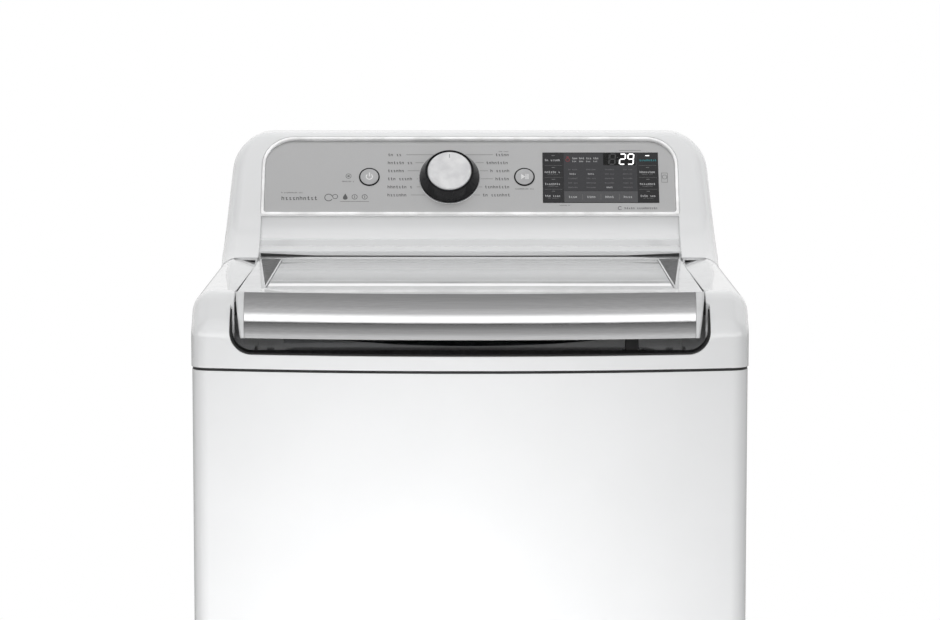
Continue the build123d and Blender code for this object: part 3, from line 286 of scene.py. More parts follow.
def rubber(name, color):
    """Matt rubber, dusted paler in places."""
    look = Look(name, color, 0.75)
    look.mottle(look.noise(80, 4), tuple(c * 1.35 + 0.005 for c in color))
    look.polish(look.noise(300, 3), 0.65, 0.85)
    look.soften(0.6 * MM)
    return look.bump(look.noise(1500, 3), 0.04 * MM)


def handle_metal():
    """Satin metallic skin of the lid's handle, brushed along its length."""
    look = Look("handle_metal", (0.64, 0.64, 0.645), 0.1, metallic=1.0)
    lines = look.noise(700, 3, (0.02, 1, 1))
    look.mottle(lines, (0.6, 0.6, 0.605)).polish(lines, 0.08, 0.12)
    look.soften(0.8 * MM)
    return look.bump(lines, 0.0002 * MM)


def panel_film():
    """Silver-grey printed film of the control panel."""
    look = Look("panel_film", (0.52, 0.52, 0.522), 0.42, metallic=0.15)
    fine = look.noise(1800, 2)
    look.mottle(fine, (0.49, 0.49, 0.492)).polish(look.noise(60, 2), 0.38, 0.46)
    return look.bump(fine, 0.006 * MM)


def lid_glass():
    """Tempered glass with a silver half-mirror coat."""
    look = Look("lid_glass", (0.62, 0.63, 0.635), 0.03, metallic=0.85, coat=1.0, ior=1.6)
    look.mottle(look.noise(6, 2), (0.58, 0.59, 0.595))
    look.polish(look.noise(15, 3), 0.02, 0.05)
    look.set("Alpha", 0.86)
    return look.crown(GLASS_LOW, GLASS_HIGH, 4.5 * MM)


def smoked_glass():
    """The display's dark cover."""
    look = Look("smoked_glass", (0.012, 0.012, 0.013), 0.07, coat=1.0)
    look.mottle(look.noise(25, 2), (0.018, 0.018, 0.02)).polish(look.noise(60, 3), 0.05, 0.1)
    return look


def ink(name, color):
    """Matt printing ink."""
    look = Look(name, color, 0.5)
    look.mottle(look.noise(900, 2), tuple(c * 0.8 for c in color))
    return look.polish(look.noise(500, 2), 0.42, 0.58)


def clock_black():
    """The black ground behind the display's digits."""
    look = Look("clock_black", (0.004, 0.004, 0.004), 0.25)
    look.mottle(look.noise(100, 2), (0.008, 0.008, 0.008)).polish(look.noise(200, 2), 0.2, 0.32)
    return look


def border_white():
    """Matt white ceramic ink, fired on the glass."""
    look = Look("border_white", (0.96, 0.96, 0.965), 0.9, ior=1.02)
    look.mottle(look.noise(30, 2), (0.94, 0.94, 0.945))
    return look.polish(look.noise(200, 2), 0.85, 0.95)


def dial_chrome():
    """Bright plating of the ring at the dial's foot."""
    look = Look("dial_chrome", (0.75, 0.75, 0.76), 0.12, metallic=1.0)
    look.mottle(look.noise(200, 2), (0.68, 0.68, 0.69)).polish(look.noise(300, 2), 0.1, 0.18)
    return look


def lamp(name, color, power):
    """A lit segment behind the display glass."""
    look = Look(name, color, 0.4)
    glow = look.noise(700, 2)
    look.set("Emission Color", (*color, 1.0))
    look.link(look.spread(glow, power * 0.85, power), look.shader.inputs["Emission Strength"])
    return look


def spun_silver():
    """The dial's cap, spun about its own axis."""
    look = Look("spun_silver", (0.88, 0.88, 0.885), 0.34, metallic=0.3)
    look.mottle(look.noise(60, 3), (0.74, 0.74, 0.75)).polish(look.noise(1500, 2), 0.28, 0.4)
    look.soften(1.0 * MM)
    return look.bump(look.noise(1600, 2), 0.006 * MM)


def circuit_board():
    """Solder resist over copper tracks."""
    look = Look("circuit_board", (0.01, 0.09, 0.035), 0.35)
    tracks = look.cells(260)
    look.mottle(tracks, (0.02, 0.16, 0.06), 0.3, 0.5).polish(look.noise(200, 2), 0.25, 0.45)
    look.soften(0.3 * MM)
    return look.bump(tracks, 0.03 * MM)


def copper():
    """Enamelled copper wire, wound flat."""
    look = Look("copper_wire", (0.55, 0.2, 0.07), 0.28, metallic=0.9)
    wires = look.node("ShaderNodeTexWave", bands_direction="Z")
    wires.inputs["Scale"].default_value = 120
    look.link(look.place, wires.inputs["Vector"])
    look.mottle(wires.outputs["Fac"], (0.28, 0.08, 0.03), 0.1, 0.9)
    return look.bump(wires.outputs["Fac"], 0.3 * MM)


# ---------------------------------------------------------------- materials of the CAD nodes
WHITE = (0.84, 0.845, 0.85)
LOOKS = {
    "painted_steel": enamel("cabinet_enamel", WHITE, 1.0 * MM),
    "galvanised_steel": zinc("galvanised_sheet", (0.62, 0.64, 0.66)),
    "zinc_screws": brushed("bright_zinc", (0.68, 0.68, 0.66), 0.28, (1, 1, 0.2)),
    "foot_rubber": rubber("foot_rubber", (0.02, 0.02, 0.021)),
    "white_plastic": enamel("white_moulding", (0.82, 0.825, 0.83), 2.5 * MM),
    "lid_white": enamel("lid_moulding", (0.82, 0.825, 0.83), 1.2 * MM),
    "lid_inner": moulding("lid_inner_moulding", (0.5, 0.51, 0.52), 0.4),
    "trim_white": gloss("white_trim", (0.9, 0.9, 0.9), 1.2),
    "black_plastic": moulding("black_moulding", (0.012, 0.012, 0.012), 0.45),
    "gloss_black": gloss("piano_black", (0.006, 0.006, 0.007), 0.8),
    # satin black dresses the trims at the lid's rear corners: a real dark trim, and partly painted
    # reflection, since its flat dark colour stands in for the dark reflections seen there
    "satin_black": moulding("satin_black", (0.012, 0.012, 0.013), 0.4, 0.01),
    "lid_glass": lid_glass(),
    "seal_rubber": rubber("seal_rubber", (0.12, 0.12, 0.125)),
    "handle_metal": handle_metal(),
    "handle_end": moulding("handle_end", (0.64, 0.645, 0.65), 0.22, 0.002, 1.5),
    "shaft_steel": brushed("ground_steel", (0.58, 0.58, 0.59), 0.25, (1, 1, 0.15)),
    "spring_steel": brushed("spring_steel", (0.3, 0.3, 0.31), 0.35, (1, 1, 1)),
    "panel_grey": panel_film(),
    "dial_silver": spun_silver(),
    "button_grey": moulding("button_grey", (0.42, 0.42, 0.425), 0.38, 0.008, 0.6),
    "display_glass": smoked_glass(),
    "circuit_board": circuit_board(),
    "valve_plastic": moulding("valve_nylon", (0.7, 0.7, 0.66), 0.45),
    "hose_rubber": rubber("hose_rubber", (0.025, 0.025, 0.025)),
    "grey_plastic": moulding("grey_moulding", (0.22, 0.225, 0.23), 0.5),
    "drawer_plastic": moulding("drawer_moulding", (0.6, 0.62, 0.65), 0.35, 0.015),
    "tub_plastic": moulding("tub_polypropylene", (0.5, 0.51, 0.52), 0.5, 0.05),
    "basket_steel": brushed("basket_stainless", (0.66, 0.67, 0.68), 0.24, (1, 1, 0.03)),
    "balance_plastic": moulding("balance_moulding", (0.52, 0.54, 0.56), 0.3, 0.01, 2.0),
    "cast_aluminium": cast("cast_aluminium", (0.58, 0.58, 0.59)),
    "impeller_plastic": moulding("impeller_moulding", (0.34, 0.37, 0.42), 0.36, 0.02, 2.5),
    "motor_iron": cast("motor_iron", (0.1, 0.1, 0.105), 0.6),
    "copper_wire": copper(),
}


SMOOTH_BELOW = radians(30)  # edges flatter than this are shaded smooth
WELD = 0.002 * MM  # points nearer to each other than this become one


def smooth_group():
    """Geometry nodes that weld the mesh and shade it smoothly across its flatter edges."""
    group = bpy.data.node_groups.new("smooth_across_flat_edges", "GeometryNodeTree")
    group.interface.new_socket("Geometry", in_out="INPUT", socket_type="NodeSocketGeometry")
    group.interface.new_socket("Geometry", in_out="OUTPUT", socket_type="NodeSocketGeometry")
    kinds = ("NodeGroupInput", "GeometryNodeMergeByDistance", "GeometryNodeSetShadeSmooth",
             "GeometryNodeSetShadeSmooth", "NodeGroupOutput")
    start, merge, faces, edges, end = (group.nodes.new(kind) for kind in kinds)
    merge.inputs["Distance"].default_value = WELD
    faces.domain = "FACE"
    edges.domain = "EDGE"
    edges.inputs["Shade Smooth"].default_value = False
    angle = group.nodes.new("GeometryNodeInputMeshEdgeAngle")
    sharp = group.nodes.new("FunctionNodeCompare")
    sharp.operation = "GREATER_THAN"
    sharp.inputs[1].default_value = SMOOTH_BELOW
    group.links.new(angle.outputs["Unsigned Angle"], sharp.inputs[0])
    group.links.new(sharp.outputs[0], edges.inputs["Selection"])
    for before, after in zip((start, merge, faces, edges), (merge, faces, edges, end)):
        group.links.new(before.outputs[0], after.inputs[0])
    return group


def dress_cad_nodes():
    """Gives every CAD node the look of its material slot, and smooth curved faces."""
    smooth = smooth_group()
    for part in frame["record"]["subparts"]:
        node = NODES[part["node"]]
        node.data.materials.clear()
        node.data.materials.append(LOOKS[part["material_slot"]].material)
        shading = node.modifiers.new("smooth", "NODES")
        shading.node_group = smooth
        if part["material_slot"] != "handle_metal":  # the handle keeps its plain smooth shading
            flat = node.modifiers.new("flat_faces_stay_flat", "WEIGHTED_NORMAL")
            flat.keep_sharp = True


# ---------------------------------------------------------------- making pieces
CORNER_STEPS = 4  # sides of a round corner
ROUND_STEPS = 96  # sides of the dial's ring and of the floor
SHORT_STROKE = 0.72  # height of a short stroke of lettering, for a tall one of 1


def piece(name, make, look, body):
    """A new mesh piece that make fills, dressed and riding on a body."""
    mesh = bpy.data.meshes.new(name)
    shape = bmesh.new()
    make(shape)
    shape.to_mesh(mesh)
    shape.free()
    made = bpy.data.objects.new(name, mesh)
    bpy.context.scene.collection.objects.link(made)
    mesh.materials.append(look.material)
    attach(made, body)
    return made


def plate(shape, top, foot):
    """A thin plate between two rings of points, open underneath."""
    top, foot = ([shape.verts.new(point) for point in ring] for ring in (top, foot))
    shape.faces.new(top)
    for i in range(len(top)):
        j = (i + 1) % len(top)
        shape.faces.new((top[i], foot[i], foot[j], top[j]))


def stamp(shape, outline, lift):
    """A thin plate of ink on the panel, lift millimetres out of it."""
    plate(shape, *([panel_point(u, v, out) for u, v in outline] for out in (lift + PRINT, lift)))


def bar(u, v, width, height, lean=0.0):
    """The outline of an upright bar centred on u, v, leaning right by lean at its top."""
    w, h = width / 2, height / 2
    return [(u - w - lean, v - h), (u + w - lean, v - h),
            (u + w + lean, v + h), (u - w + lean, v + h)]


def round_bar(u, v, width, height, r):
    """The outline of a bar with round corners."""
    points = []
    for quarter in range(4):
        cu = u + (width / 2 - r) * (1 if quarter in (0, 3) else -1)
        cv = v + (height / 2 - r) * (1 if quarter in (0, 1) else -1)
        for step in range(CORNER_STEPS + 1):
            a = pi / 2 * quarter + pi / 2 / CORNER_STEPS * step
            points.append((cu + r * cos(a), cv + r * sin(a)))
    return points


def stamp_arc(shape, u, v, r, width, start, end, lift, steps=32):
    """A curved line of ink, from start to end degrees."""
    for i in range(steps):
        a = radians(start + (end - start) * i / steps)
        b = radians(start + (end - start) * (i + 1) / steps)
        outline = [(u + q * cos(t), v + q * sin(t)) for q, t in
                   ((r - width / 2, a), (r + width / 2, a), (r + width / 2, b), (r - width / 2, b))]
        stamp(shape, outline, lift)


def stamp_words(shape, left, v, width, height, lift, seed=1):
    """A generic line of lettering: upright strokes in word-like groups, with no letters in it."""
    stroke = height * 0.62  # the width of one letter-like group
    step = height * 0.84  # from one group to the next
    count = int(width / step)
    for i in range(count):
        turn = (i * 7 + seed * 5) % 11
        if turn == 3 and 0 < i < count - 1:
            continue
        tall = height * (1.0 if turn in (0, 5, 8) or i == 0 else SHORT_STROKE)
        u = left + step * (i + 0.5)
        base = v - height / 2
        if turn % 2:
            stamp(shape, bar(u - stroke * 0.36, base + tall / 2, stroke * 0.28, tall), lift)
            short = bar(u + stroke * 0.36, base + height * SHORT_STROKE / 2,
                        stroke * 0.28, height * SHORT_STROKE)
            stamp(shape, short, lift)
        else:
            stamp(shape, bar(u, base + tall / 2, stroke * 0.3, tall), lift)
            foot = bar(u + stroke * 0.3, base + height * 0.1, stroke * 0.5, height * 0.2)
            stamp(shape, foot, lift)
        stamp(shape, bar(u, base + height * 0.62, stroke * 0.7, height * 0.18), lift)


def lathe(shape, centre, axis, profile, steps):
    """Turns a closed profile of (radius, height) in millimetres about an axis through centre."""
    axis = axis.normalized()
    side = Vector((1, 0, 0)) if abs(axis.x) < 0.9 else Vector((0, 1, 0))
    across = (side - axis * side.dot(axis)).normalized()
    other = axis.cross(across)
    rings = []
    for i in range(steps):
        a = 2 * pi * i / steps
        out = across * cos(a) + other * sin(a)
        rings.append([shape.verts.new(centre + out * r * MM + axis * h * MM) for r, h in profile])
    count = len(profile)
    for i in range(steps):
        here, there = rings[i], rings[(i + 1) % steps]
        for j in range(count):
            k = (j + 1) % count
            face = shape.faces.new((here[j], there[j], there[k], here[k]))
            face.smooth = True


# ---------------------------------------------------------------- printing on the panel
ROWS = [DIAL_V + 37.5 - 13 * i for i in range(6)]  # heights of the legends beside the dial
LEFT_LEGENDS = (23, 36, 25, 38, 38, 30)  # their lengths
RIGHT_LEGENDS = (21, 34, 28, 21, 36, 39)
LEGEND_LEFT = -115.0  # where the left ones start
LEGEND_RIGHT = 56.0  # where the right ones end
LEGEND_HEIGHT = 4.6
LEADER = 0.45  # thickness of a leader line
LEADER_GAP = 3  # between a legend and its line
LEADER_LEAST = 2  # a shorter line is left out
RIM_GAP = 2.0  # between a line and the dial
PAST_RIM = 6.0  # where a line that clears the dial ends, from its middle


def panel_printing(shape):
    """Cycle legends on both sides of the dial, their leader lines, and small marks."""
    for i, v in enumerate(ROWS):
        reach = (DIAL_R + RIM_GAP) ** 2 - (v - DIAL_V) ** 2
        rim = reach**0.5 if reach > 0 else PAST_RIM
        left_end = LEGEND_LEFT + LEFT_LEGENDS[i]
        right_start = LEGEND_RIGHT - RIGHT_LEGENDS[i]
        stamp_words(shape, LEGEND_LEFT, v, LEFT_LEGENDS[i], LEGEND_HEIGHT, ON_FILM, i)
        stamp_words(shape, right_start, v, RIGHT_LEGENDS[i], LEGEND_HEIGHT, ON_FILM, i + 6)
        for a, b in ((left_end + LEADER_GAP, DIAL_X - rim),
                     (DIAL_X + rim, right_start - LEADER_GAP)):
            if b - a > LEADER_LEAST:
                stamp(shape, bar((a + b) / 2, v, b - a, LEADER), ON_FILM)
    stamp_words(shape, LEGEND_RIGHT - 16, ROWS[0] + 5.4, 14, 2.0, ON_FILM, 3)
    stamp_words(shape, START_X - 13, KEY_V - 19, 26, 2.2, ON_FILM, 2)
    stamp_words(shape, POWER_X - 38, KEY_V - 7, 17, 2.2, ON_FILM, 4)
    stamp_arc(shape, POWER_X - 29, KEY_V + 1.5, 3.6, 0.7, 0, 360, ON_FILM)
    stamp(shape, round_bar(POWER_X - 29, KEY_V + 1.5, 3.4, 2.2, 0.8), ON_FILM)


def feature_marks(shape):
    """Plain symbols along the panel's foot: rings, a drop and bars of no meaning."""
    stamp_words(shape, -262, 24, 52, 6.0, ON_FILM, 5)
    stamp_words(shape, -262, 33, 30, 2.2, ON_FILM, 8)
    stamp_arc(shape, -196, 25, 5.4, 1.1, 20, 330, ON_FILM)
    stamp_arc(shape, -187, 26.5, 3.4, 0.9, 0, 360, ON_FILM)
    stamp(shape, [(-173 + 4.6 * sin(a) * (1.15 + cos(a)) / 2, 26.5 - 5 * cos(a)) for a in
                  [2 * pi * i / 24 for i in range(24)]], ON_FILM)
    for u in (-160, -146):
        stamp_arc(shape, u, 26, 3.6, 0.8, 0, 360, ON_FILM)
        stamp(shape, bar(u, 26, 0.8, 4.2), ON_FILM)
    stamp(shape, bar(-160, 18.6, 40, 0.5), ON_FILM)
    stamp_words(shape, DISPLAY_X + 32, 8, 47, 3.4, ON_FILM, 9)
    stamp_arc(shape, DISPLAY_X + 26, 8, 2.6, 0.8, 40, 320, ON_FILM)
    stamp_words(shape, DISPLAY_X - 58, 12.6, 16, 1.6, ON_FILM, 7)
    stamp(shape, bar(DISPLAY_X + 42, DISPLAY_V + 44, 30, 0.5), ON_FILM)
    side = DISPLAY_X + DISPLAY_W / 2 + 8.5
    stamp_arc(shape, side, DISPLAY_V + 1, 3.2, 0.6, 0, 360, ON_FILM)
    for du, dv, w, h in ((-4, 0, 0.5, 15), (4, 0, 0.5, 15),
                         (0, 7.5, 8.5, 0.5), (0, -7.5, 8.5, 0.5)):
        stamp(shape, bar(side + du, DISPLAY_V + dv, w, h), ON_FILM)


def power_icon(shape):
    """A broken ring with a bar in its gap."""
    stamp_arc(shape, POWER_X, KEY_V, 4.3, 1.5, 130, 410, KEY_FACE)
    stamp(shape, bar(POWER_X, KEY_V + 3.2, 1.5, 6.2), KEY_FACE)


def start_icon(shape):
    """A triangle and two bars."""
    foot, tip, head = (-4.6, -4.4), (0.8, 0), (-4.6, 4.4)
    stamp(shape, [(START_X + du, KEY_V + dv) for du, dv in (foot, tip, head)], KEY_FACE)
    for du in (2.2, 4.9):
        stamp(shape, bar(START_X + du, KEY_V, 1.4, 8.4), KEY_FACE)


# ---------------------------------------------------------------- the display
COLUMN = 29.5  # width of the display's dark columns of keys
FOOT_ROW = 18.5  # height of its row of labels
LEFT_EDGE = DISPLAY_X - DISPLAY_W / 2
RIGHT_EDGE = DISPLAY_X + DISPLAY_W / 2
LOW_EDGE = DISPLAY_V - DISPLAY_H / 2
HIGH_EDGE = DISPLAY_V + DISPLAY_H / 2
KEY_ROWS = [HIGH_EDGE - 12.5 - 19.2 * i for i in range(4)]
KEY_INSET = 3.2  # from a right key's edge to its label
MID_LEFT, MID_RIGHT = LEFT_EDGE + COLUMN, RIGHT_EDGE - COLUMN
MID_WIDTH = MID_RIGHT - MID_LEFT
MID_X = (MID_LEFT + MID_RIGHT) / 2
MID_COLUMNS = [MID_LEFT + MID_WIDTH * (i + 0.5) / 4 for i in range(4)]
MID_ROWS = [HIGH_EDGE - 27.6 - 7.2 * i for i in range(5)]
CHOSEN = ((0, 1), (1, 1), (2, 4))  # column and row of the settings that are chosen
FOOT_V = LOW_EDGE + FOOT_ROW / 2
CLOCK_V = HIGH_EDGE - 11
DIGIT_H, DIGIT_W, DIGIT_LINE = 16.5, 7.6, 1.7
LABEL = 3.2  # height of a key's label
MARK_RISE = 7.4  # from a key's label up to the mark over it


def display_middle(shape):
    """The lighter window between the two dark columns."""
    low = LOW_EDGE + FOOT_ROW
    stamp(shape, bar(MID_X, (low + HIGH_EDGE) / 2, MID_WIDTH, HIGH_EDGE - low - 1), DISPLAY_FACE)


def display_foot(shape):
    """The grey row of labels below the window."""
    rim = 0.5
    middle = (LOW_EDGE + rim + LOW_EDGE + FOOT_ROW) / 2
    stamp(shape, bar(MID_X, middle, MID_WIDTH, FOOT_ROW - rim), DISPLAY_FACE)


def clock_window(shape):
    """The black ground of the digits."""
    stamp(shape, round_bar(MID_RIGHT - 24.5, CLOCK_V, 45, 19.5, 0.8), SECOND_LAYER)


def segments(shape, u, v, lit, lift):
    """The lit segments of one seven-segment digit, its middle at u, v."""
    w, h = DIGIT_W, DIGIT_H
    flat = {"a": h / 2, "g": 0.0, "d": -h / 2}
    tall = {"b": (1, 1), "c": (1, -1), "e": (-1, -1), "f": (-1, 1)}
    for name in lit:
        if name in flat:
            shift = flat[name] * 0.08  # the digits lean to the right
            stamp(shape, bar(u + shift, v + flat[name], w - 1.6, DIGIT_LINE), lift)
        else:
            side, level = tall[name]
            middle = u + side * w / 2 + level * h * 0.02
            stamp(shape, bar(middle, v + level * h / 4, DIGIT_LINE, h / 2 - 1.5, 0.3), lift)


DIGITS = {"1": "bc", "2": "abged", "8": "abcdefg", "9": "abcdfg"}


def lit_digits(shape):
    """The two bright digits."""
    for u, digit in ((MID_RIGHT - 20, "2"), (MID_RIGHT - 8.5, "9")):
        segments(shape, u, CLOCK_V, DIGITS[digit], THIRD_LAYER)


def dim_digits(shape):
    """The two unlit digits, and the colon."""
    for u, digit in ((MID_RIGHT - 42.5, "1"), (MID_RIGHT - 34, "8")):
        segments(shape, u, CLOCK_V, DIGITS[digit], THIRD_LAYER)
    for dv in (-3, 3):
        stamp(shape, bar(MID_RIGHT - 27, CLOCK_V + dv, 1.2, 1.2), THIRD_LAYER)


def bright_labels(shape):
    """White lettering on the keys, the foot row and the chosen settings."""
    for i, v in enumerate(KEY_ROWS):
        for j, edge in enumerate((LEFT_EDGE + 2.6, MID_RIGHT + KEY_INSET)):
            if i == 0 and j == 1:  # the teal label is here
                continue
            stamp_words(shape, edge, v, 24, LABEL, DISPLAY_FACE, i + 3 * j)
    for i, u in enumerate(MID_COLUMNS):
        stamp_words(shape, u - 7, FOOT_V, 15, 3.6, SECOND_LAYER, i + 2)
    for column, row in CHOSEN:
        stamp_words(shape, MID_COLUMNS[column] - 5, MID_ROWS[row], 10, 2.6, SECOND_LAYER, row)
    for i in range(4):
        left = MID_LEFT + 11.5 + 9.8 * i
        stamp_words(shape, left, HIGH_EDGE - 9.5, 8, 3.0, SECOND_LAYER, i)
        stamp_words(shape, left, HIGH_EDGE - 14.5, 8, 2.4, SECOND_LAYER, i + 3)


def dim_labels(shape):
    """Grey lettering of the settings that aren't chosen, and rules between the keys."""
    for i, u in enumerate(MID_COLUMNS):
        for j, v in enumerate(MID_ROWS):
            if (i, j) not in CHOSEN:
                stamp_words(shape, u - 7, v, 14, 2.2, SECOND_LAYER, i + j)
    for i in range(1, 4):
        stamp(shape, bar(MID_LEFT + MID_WIDTH * i / 4, FOOT_V, 0.5, 9), SECOND_LAYER)
    for i, v in enumerate(KEY_ROWS):
        for edge in (LEFT_EDGE + COLUMN / 2, RIGHT_EDGE - COLUMN / 2):
            if i or edge < DISPLAY_X:  # the top right key has a lamp here
                stamp(shape, round_bar(edge, v + MARK_RISE, 4.6, 0.9, 0.4), DISPLAY_FACE)
            if i:
                stamp(shape, bar(edge, v + 10.6, COLUMN - 5, 0.35), DISPLAY_FACE)
                stamp_words(shape, edge - 8, v - 3.6, 16, 1.6, DISPLAY_FACE, i)


def key_lamp(shape):
    """The lit mark over the top right key."""
    mark = round_bar(RIGHT_EDGE - COLUMN / 2, KEY_ROWS[0] + MARK_RISE, 5.6, 1.3, 0.5)
    stamp(shape, mark, DISPLAY_FACE)


def teal_label(shape):
    """The coloured label of the top right key."""
    stamp_words(shape, MID_RIGHT + KEY_INSET, KEY_ROWS[0], 25, LABEL, DISPLAY_FACE, 2)


def red_lamp(shape):
    """A small ring with a cap, left of the clock."""
    stamp_arc(shape, MID_LEFT + 5.5, HIGH_EDGE - 12, 2.6, 0.7, 0, 360, SECOND_LAYER)
    stamp(shape, round_bar(MID_LEFT + 5.5, HIGH_EDGE - 7.5, 3.0, 1.6, 0.6), SECOND_LAYER)


def dress_panel():
    """Prints the panel and the keys, and fills the display layer by layer."""
    grey_ink = ink("grey_ink", (0.13, 0.13, 0.132))
    dark_ink = ink("dark_ink", (0.075, 0.075, 0.077))
    white_ink = ink("white_ink", (0.85, 0.85, 0.85))
    piece("panel_printing", panel_printing, grey_ink, "cabinet")
    piece("feature_marks", feature_marks, grey_ink, "cabinet")
    piece("power_icon", power_icon, white_ink, "power_key")
    piece("start_icon", start_icon, white_ink, "start_key")
    for name, make, look in (
            ("display_middle", display_middle, ink("display_smoke", (0.052, 0.052, 0.056))),
            ("display_foot", display_foot, ink("display_fog", (0.1, 0.1, 0.104))),
            ("clock_window", clock_window, clock_black()),
            ("lit_digits", lit_digits, lamp("white_lamp", (1.0, 1.0, 1.0), 1.1)),
            ("dim_digits", dim_digits, dark_ink),
            ("bright_labels", bright_labels, ink("label_white", (0.62, 0.62, 0.63))),
            ("dim_labels", dim_labels, ink("label_grey", (0.2, 0.2, 0.205))),
            ("key_lamp", key_lamp, lamp("key_lamp_white", (1.0, 1.0, 1.0), 1.0)),
            ("teal_label", teal_label, ink("label_teal", (0.05, 0.32, 0.36))),
            ("red_lamp", red_lamp, ink("label_red", (0.3, 0.05, 0.06)))):
        piece(name, make, look, "cabinet")


# ---------------------------------------------------------------- dial and lid glass
def dial_edge(shape):
    """A thin bright ring round the foot of the dial."""
    lathe(shape, panel_point(DIAL_X, DIAL_V), OUT_OF_PANEL,
          [(DIAL_R - 0.6, 0.15), (DIAL_R + 0.9, 0.15), (DIAL_R + 1.1, 0.6), (DIAL_R + 0.9, 1.1),
           (DIAL_R + 0.1, 1.3), (DIAL_R - 0.6, 1.0)], steps=ROUND_STEPS)


def dial_pointer(shape):
    """The mark near the top of the dial's cap."""
    stamp(shape, round_bar(DIAL_X, DIAL_V + 24.5, 1.2, 6.0, 0.5), DIAL_FACE)


GLASS_SIDE = 1.5 * MM  # from the glass's side edges to its printing
GLASS_INK_LOW, GLASS_INK_HIGH = 0.01 * MM, 0.06 * MM  # over the glass
MARGIN_END, BORDER_END = 30, 62  # millimetres behind the glass's front edge


def glass_strip(shape, start, end):
    """A strip right across the lid glass, from start to end millimetres behind its front."""
    x0, x1 = GLASS_LOW.x + GLASS_SIDE, GLASS_HIGH.x - GLASS_SIDE
    y0, y1 = GLASS_LOW.y + start * MM, GLASS_LOW.y + end * MM
    outline = [(x0, y0), (x1, y0), (x1, y1), (x0, y1)]
    plate(shape, *([(x, y, GLASS_HIGH.z + rise) for x, y in outline]
                   for rise in (GLASS_INK_HIGH, GLASS_INK_LOW)))


def glass_margin(shape):
    """The silver-white margin along the lid glass's front edge."""
    glass_strip(shape, 0.8, MARGIN_END)


def glass_border(shape):
    """The white line printed behind the margin."""
    glass_strip(shape, MARGIN_END, BORDER_END)


def dress_dial_and_glass():
    """The dial's ring and mark, and the printing on the lid's glass."""
    pointer_grey = ink("pointer_grey", (0.4, 0.4, 0.41))
    piece("dial_edge", dial_edge, dial_chrome(), "cycle_dial")
    piece("dial_pointer", dial_pointer, pointer_grey, "cycle_dial")
    piece("glass_margin", glass_margin, LOOKS["lid_white"], "lid")
    piece("glass_border", glass_border, border_white(), "lid")


# ---------------------------------------------------------------- light, floor and camera
SKY_STRENGTH = 1.75  # as gloss sees it
DIFFUSE_SHARE = 0.66  # the share of it that lights matt surfaces
# brightness of the world by the Z of a direction, in front of the machine and behind it
FRONT_SKY = [(-1.0, 0.3), (-0.56, 0.5), (-0.34, 0.27), (-0.1, 0.14), (-0.02, 0.03), (0.02, 1.0),
             (0.2, 1.0), (0.34, 0.42), (0.6, 0.28), (0.9, 0.2), (1.0, 0.3)]
BACK_SKY = [(-1.0, 0.3), (-0.1, 0.2), (0.0, 0.5), (0.5, 0.5), (1.0, 0.3)]
TURN = [(-0.02, 0.0), (0.12, 1.0)]  # from the front sky to the back one, by Y
SIDE_GAP = [(-0.2, 1.0), (-0.05, 0.25), (0.02, 0.25), (0.12, 1.0)]  # dimmer at the sides


def studio_world():
    """A white studio: a bright band on the horizon, a dim ceiling and a lit backdrop."""
    world = bpy.data.worlds.new("studio")
    bpy.context.scene.world = world
    world.use_nodes = True
    tree = world.node_tree
    tree.nodes.clear()

    def node(kind, **settings):
        return add_node(tree, kind, **settings)

    place = node("ShaderNodeTexCoord")
    split = node("ShaderNodeSeparateXYZ")
    tree.links.new(place.outputs["Generated"], split.inputs[0])

    def ramp(output, stops):
        """Brightness by one of the direction's components, which run from -1 to 1."""
        span = node("ShaderNodeMapRange")
        span.inputs["From Min"].default_value = -1
        span.inputs["From Max"].default_value = 1
        made = node("ShaderNodeValToRGB")
        made.color_ramp.interpolation = "EASE"
        elements = made.color_ramp.elements
        while len(elements) < len(stops):
            elements.new(0.5)
        for element, (at, value) in zip(elements, stops):
            element.position = (at + 1) / 2
            element.color = (value, value, value, 1)
        tree.links.new(output, span.inputs["Value"])
        tree.links.new(span.outputs["Result"], made.inputs["Fac"])
        return made.outputs["Color"]

    front = ramp(split.outputs["Z"], FRONT_SKY)
    behind = ramp(split.outputs["Z"], BACK_SKY)
    turn = ramp(split.outputs["Y"], TURN)
    gap = ramp(split.outputs["Y"], SIDE_GAP)
    mix = node("ShaderNodeMix", data_type="RGBA")
    tree.links.new(turn, mix.inputs["Factor"])
    tree.links.new(front, mix.inputs[MIX_A])
    tree.links.new(behind, mix.inputs[MIX_B])
    darker = node("ShaderNodeMix", data_type="RGBA", blend_type="MULTIPLY")
    darker.inputs["Factor"].default_value = 1.0
    tree.links.new(mix.outputs[MIX_RESULT], darker.inputs[MIX_A])
    tree.links.new(gap, darker.inputs[MIX_B])
    room = node("ShaderNodeBackground")
    tree.links.new(darker.outputs[MIX_RESULT], room.inputs["Color"])
    rays = node("ShaderNodeLightPath")
    strength = node("ShaderNodeMapRange")
    tree.links.new(rays.outputs["Is Diffuse Ray"], strength.inputs["Value"])
    strength.inputs["To Min"].default_value = SKY_STRENGTH
    strength.inputs["To Max"].default_value = SKY_STRENGTH * DIFFUSE_SHARE
    tree.links.new(strength.outputs["Result"], room.inputs["Strength"])
    paper = node("ShaderNodeBackground")
    paper.inputs["Color"].default_value = (1, 1, 1, 1)
    choose = node("ShaderNodeMixShader")
    tree.links.new(rays.outputs["Is Camera Ray"], choose.inputs[0])
    tree.links.new(room.outputs[0], choose.inputs[1])
    tree.links.new(paper.outputs[0], choose.inputs[2])
    out = node("ShaderNodeOutputWorld")
    tree.links.new(choose.outputs[0], out.inputs["Surface"])


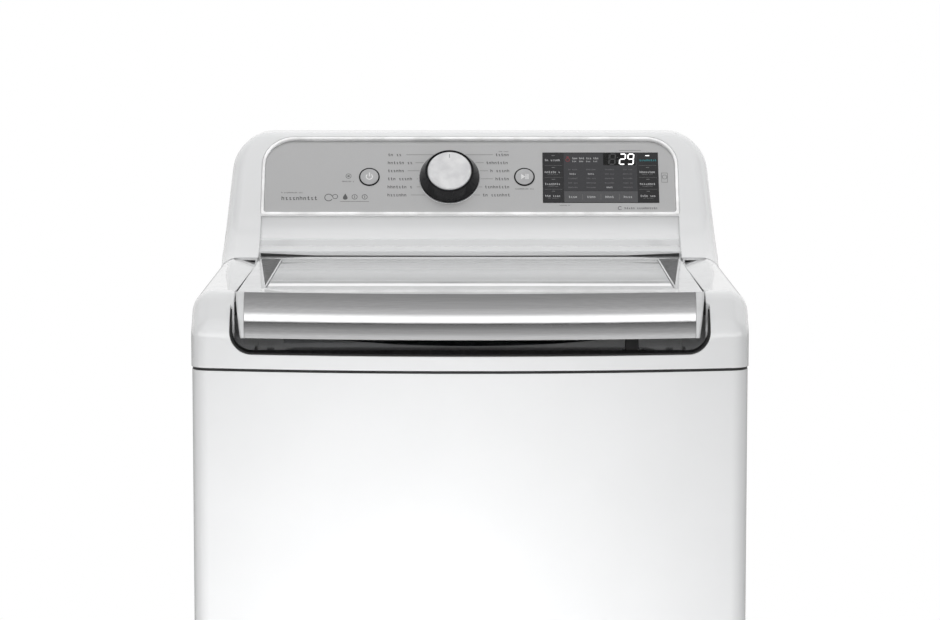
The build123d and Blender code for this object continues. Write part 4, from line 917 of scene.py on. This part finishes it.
LIGHTS = (  # name, place, what it faces, width, height and watts
    ("fill_left", (-3.0, 0.6, 1.4), (CAD_LOW.x, 0, 0.8), 1.2, 2.4, 3),
    ("fill_right", (3.0, 0.6, 1.4), (CAD_HIGH.x, 0, 0.8), 1.2, 2.4, 8),
    ("top", (0, -0.4, 3.4), (0, ((CAD_LOW + CAD_HIGH) / 2).y, 0.9), 2.0, 1.4, 38),
    ("front", (-0.12, -1.15, 0.35), (-0.1, CAD_LOW.y, 0.72), 0.35, 0.35, 5.5),
)
FLOOR_RADIUS = 1.7  # ends short of where the photograph's view would meet the ground
FLOOR_GAP = 0.0005  # below the feet


def soft_light(name, place, target, width, height, power):
    """A rectangular lamp that lights, but shows in no gloss."""
    data = bpy.data.lights.new(name, "AREA")
    data.shape = "RECTANGLE"
    data.size, data.size_y = width, height
    data.energy = power
    light = bpy.data.objects.new(name, data)
    bpy.context.scene.collection.objects.link(light)
    light.location = place
    light.visible_glossy = False
    light.rotation_euler = (Vector(target) - Vector(place)).to_track_quat("-Z", "Y").to_euler()


def studio():
    """The world, the lamps and a pale round floor."""
    studio_world()
    for light in LIGHTS:
        soft_light(*light)
    floor = bpy.data.meshes.new("floor")
    shape = bmesh.new()
    bmesh.ops.create_circle(shape, cap_ends=True, segments=ROUND_STEPS, radius=FLOOR_RADIUS)
    shape.to_mesh(floor)
    shape.free()
    ground = bpy.data.objects.new("floor", floor)
    bpy.context.scene.collection.objects.link(ground)
    ground.location = (0, 0, CAD_LOW.z - FLOOR_GAP)
    look = Look("studio_floor", (0.93, 0.93, 0.93), 0.8)
    look.mottle(look.noise(3, 3), (0.92, 0.92, 0.92))
    floor.materials.append(look.material)


CAMERA_DISTANCE = 4.0  # from the front of the machine
CAMERA_HEIGHT = 1.3891
CAMERA_PITCH = radians(6.254)
SENSOR_WIDTH, FOCAL_LENGTH = 36.0, 127.15  # millimetres


def camera():
    """The photograph's viewpoint, looking straight at the front and a little down."""
    data = bpy.data.cameras.new("camera")
    data.sensor_width = SENSOR_WIDTH
    data.lens = FOCAL_LENGTH
    data.clip_end = 100.0
    eye = bpy.data.objects.new("camera", data)
    bpy.context.scene.collection.objects.link(eye)
    eye.location = (0, CAD_LOW.y - CAMERA_DISTANCE, CAMERA_HEIGHT)
    eye.rotation_euler = (pi / 2 - CAMERA_PITCH, 0, 0)
    bpy.context.scene.camera = eye


dress_cad_nodes()
dress_panel()
dress_dial_and_glass()
studio()
camera()
bpy.context.scene.view_settings.view_transform = "Standard"
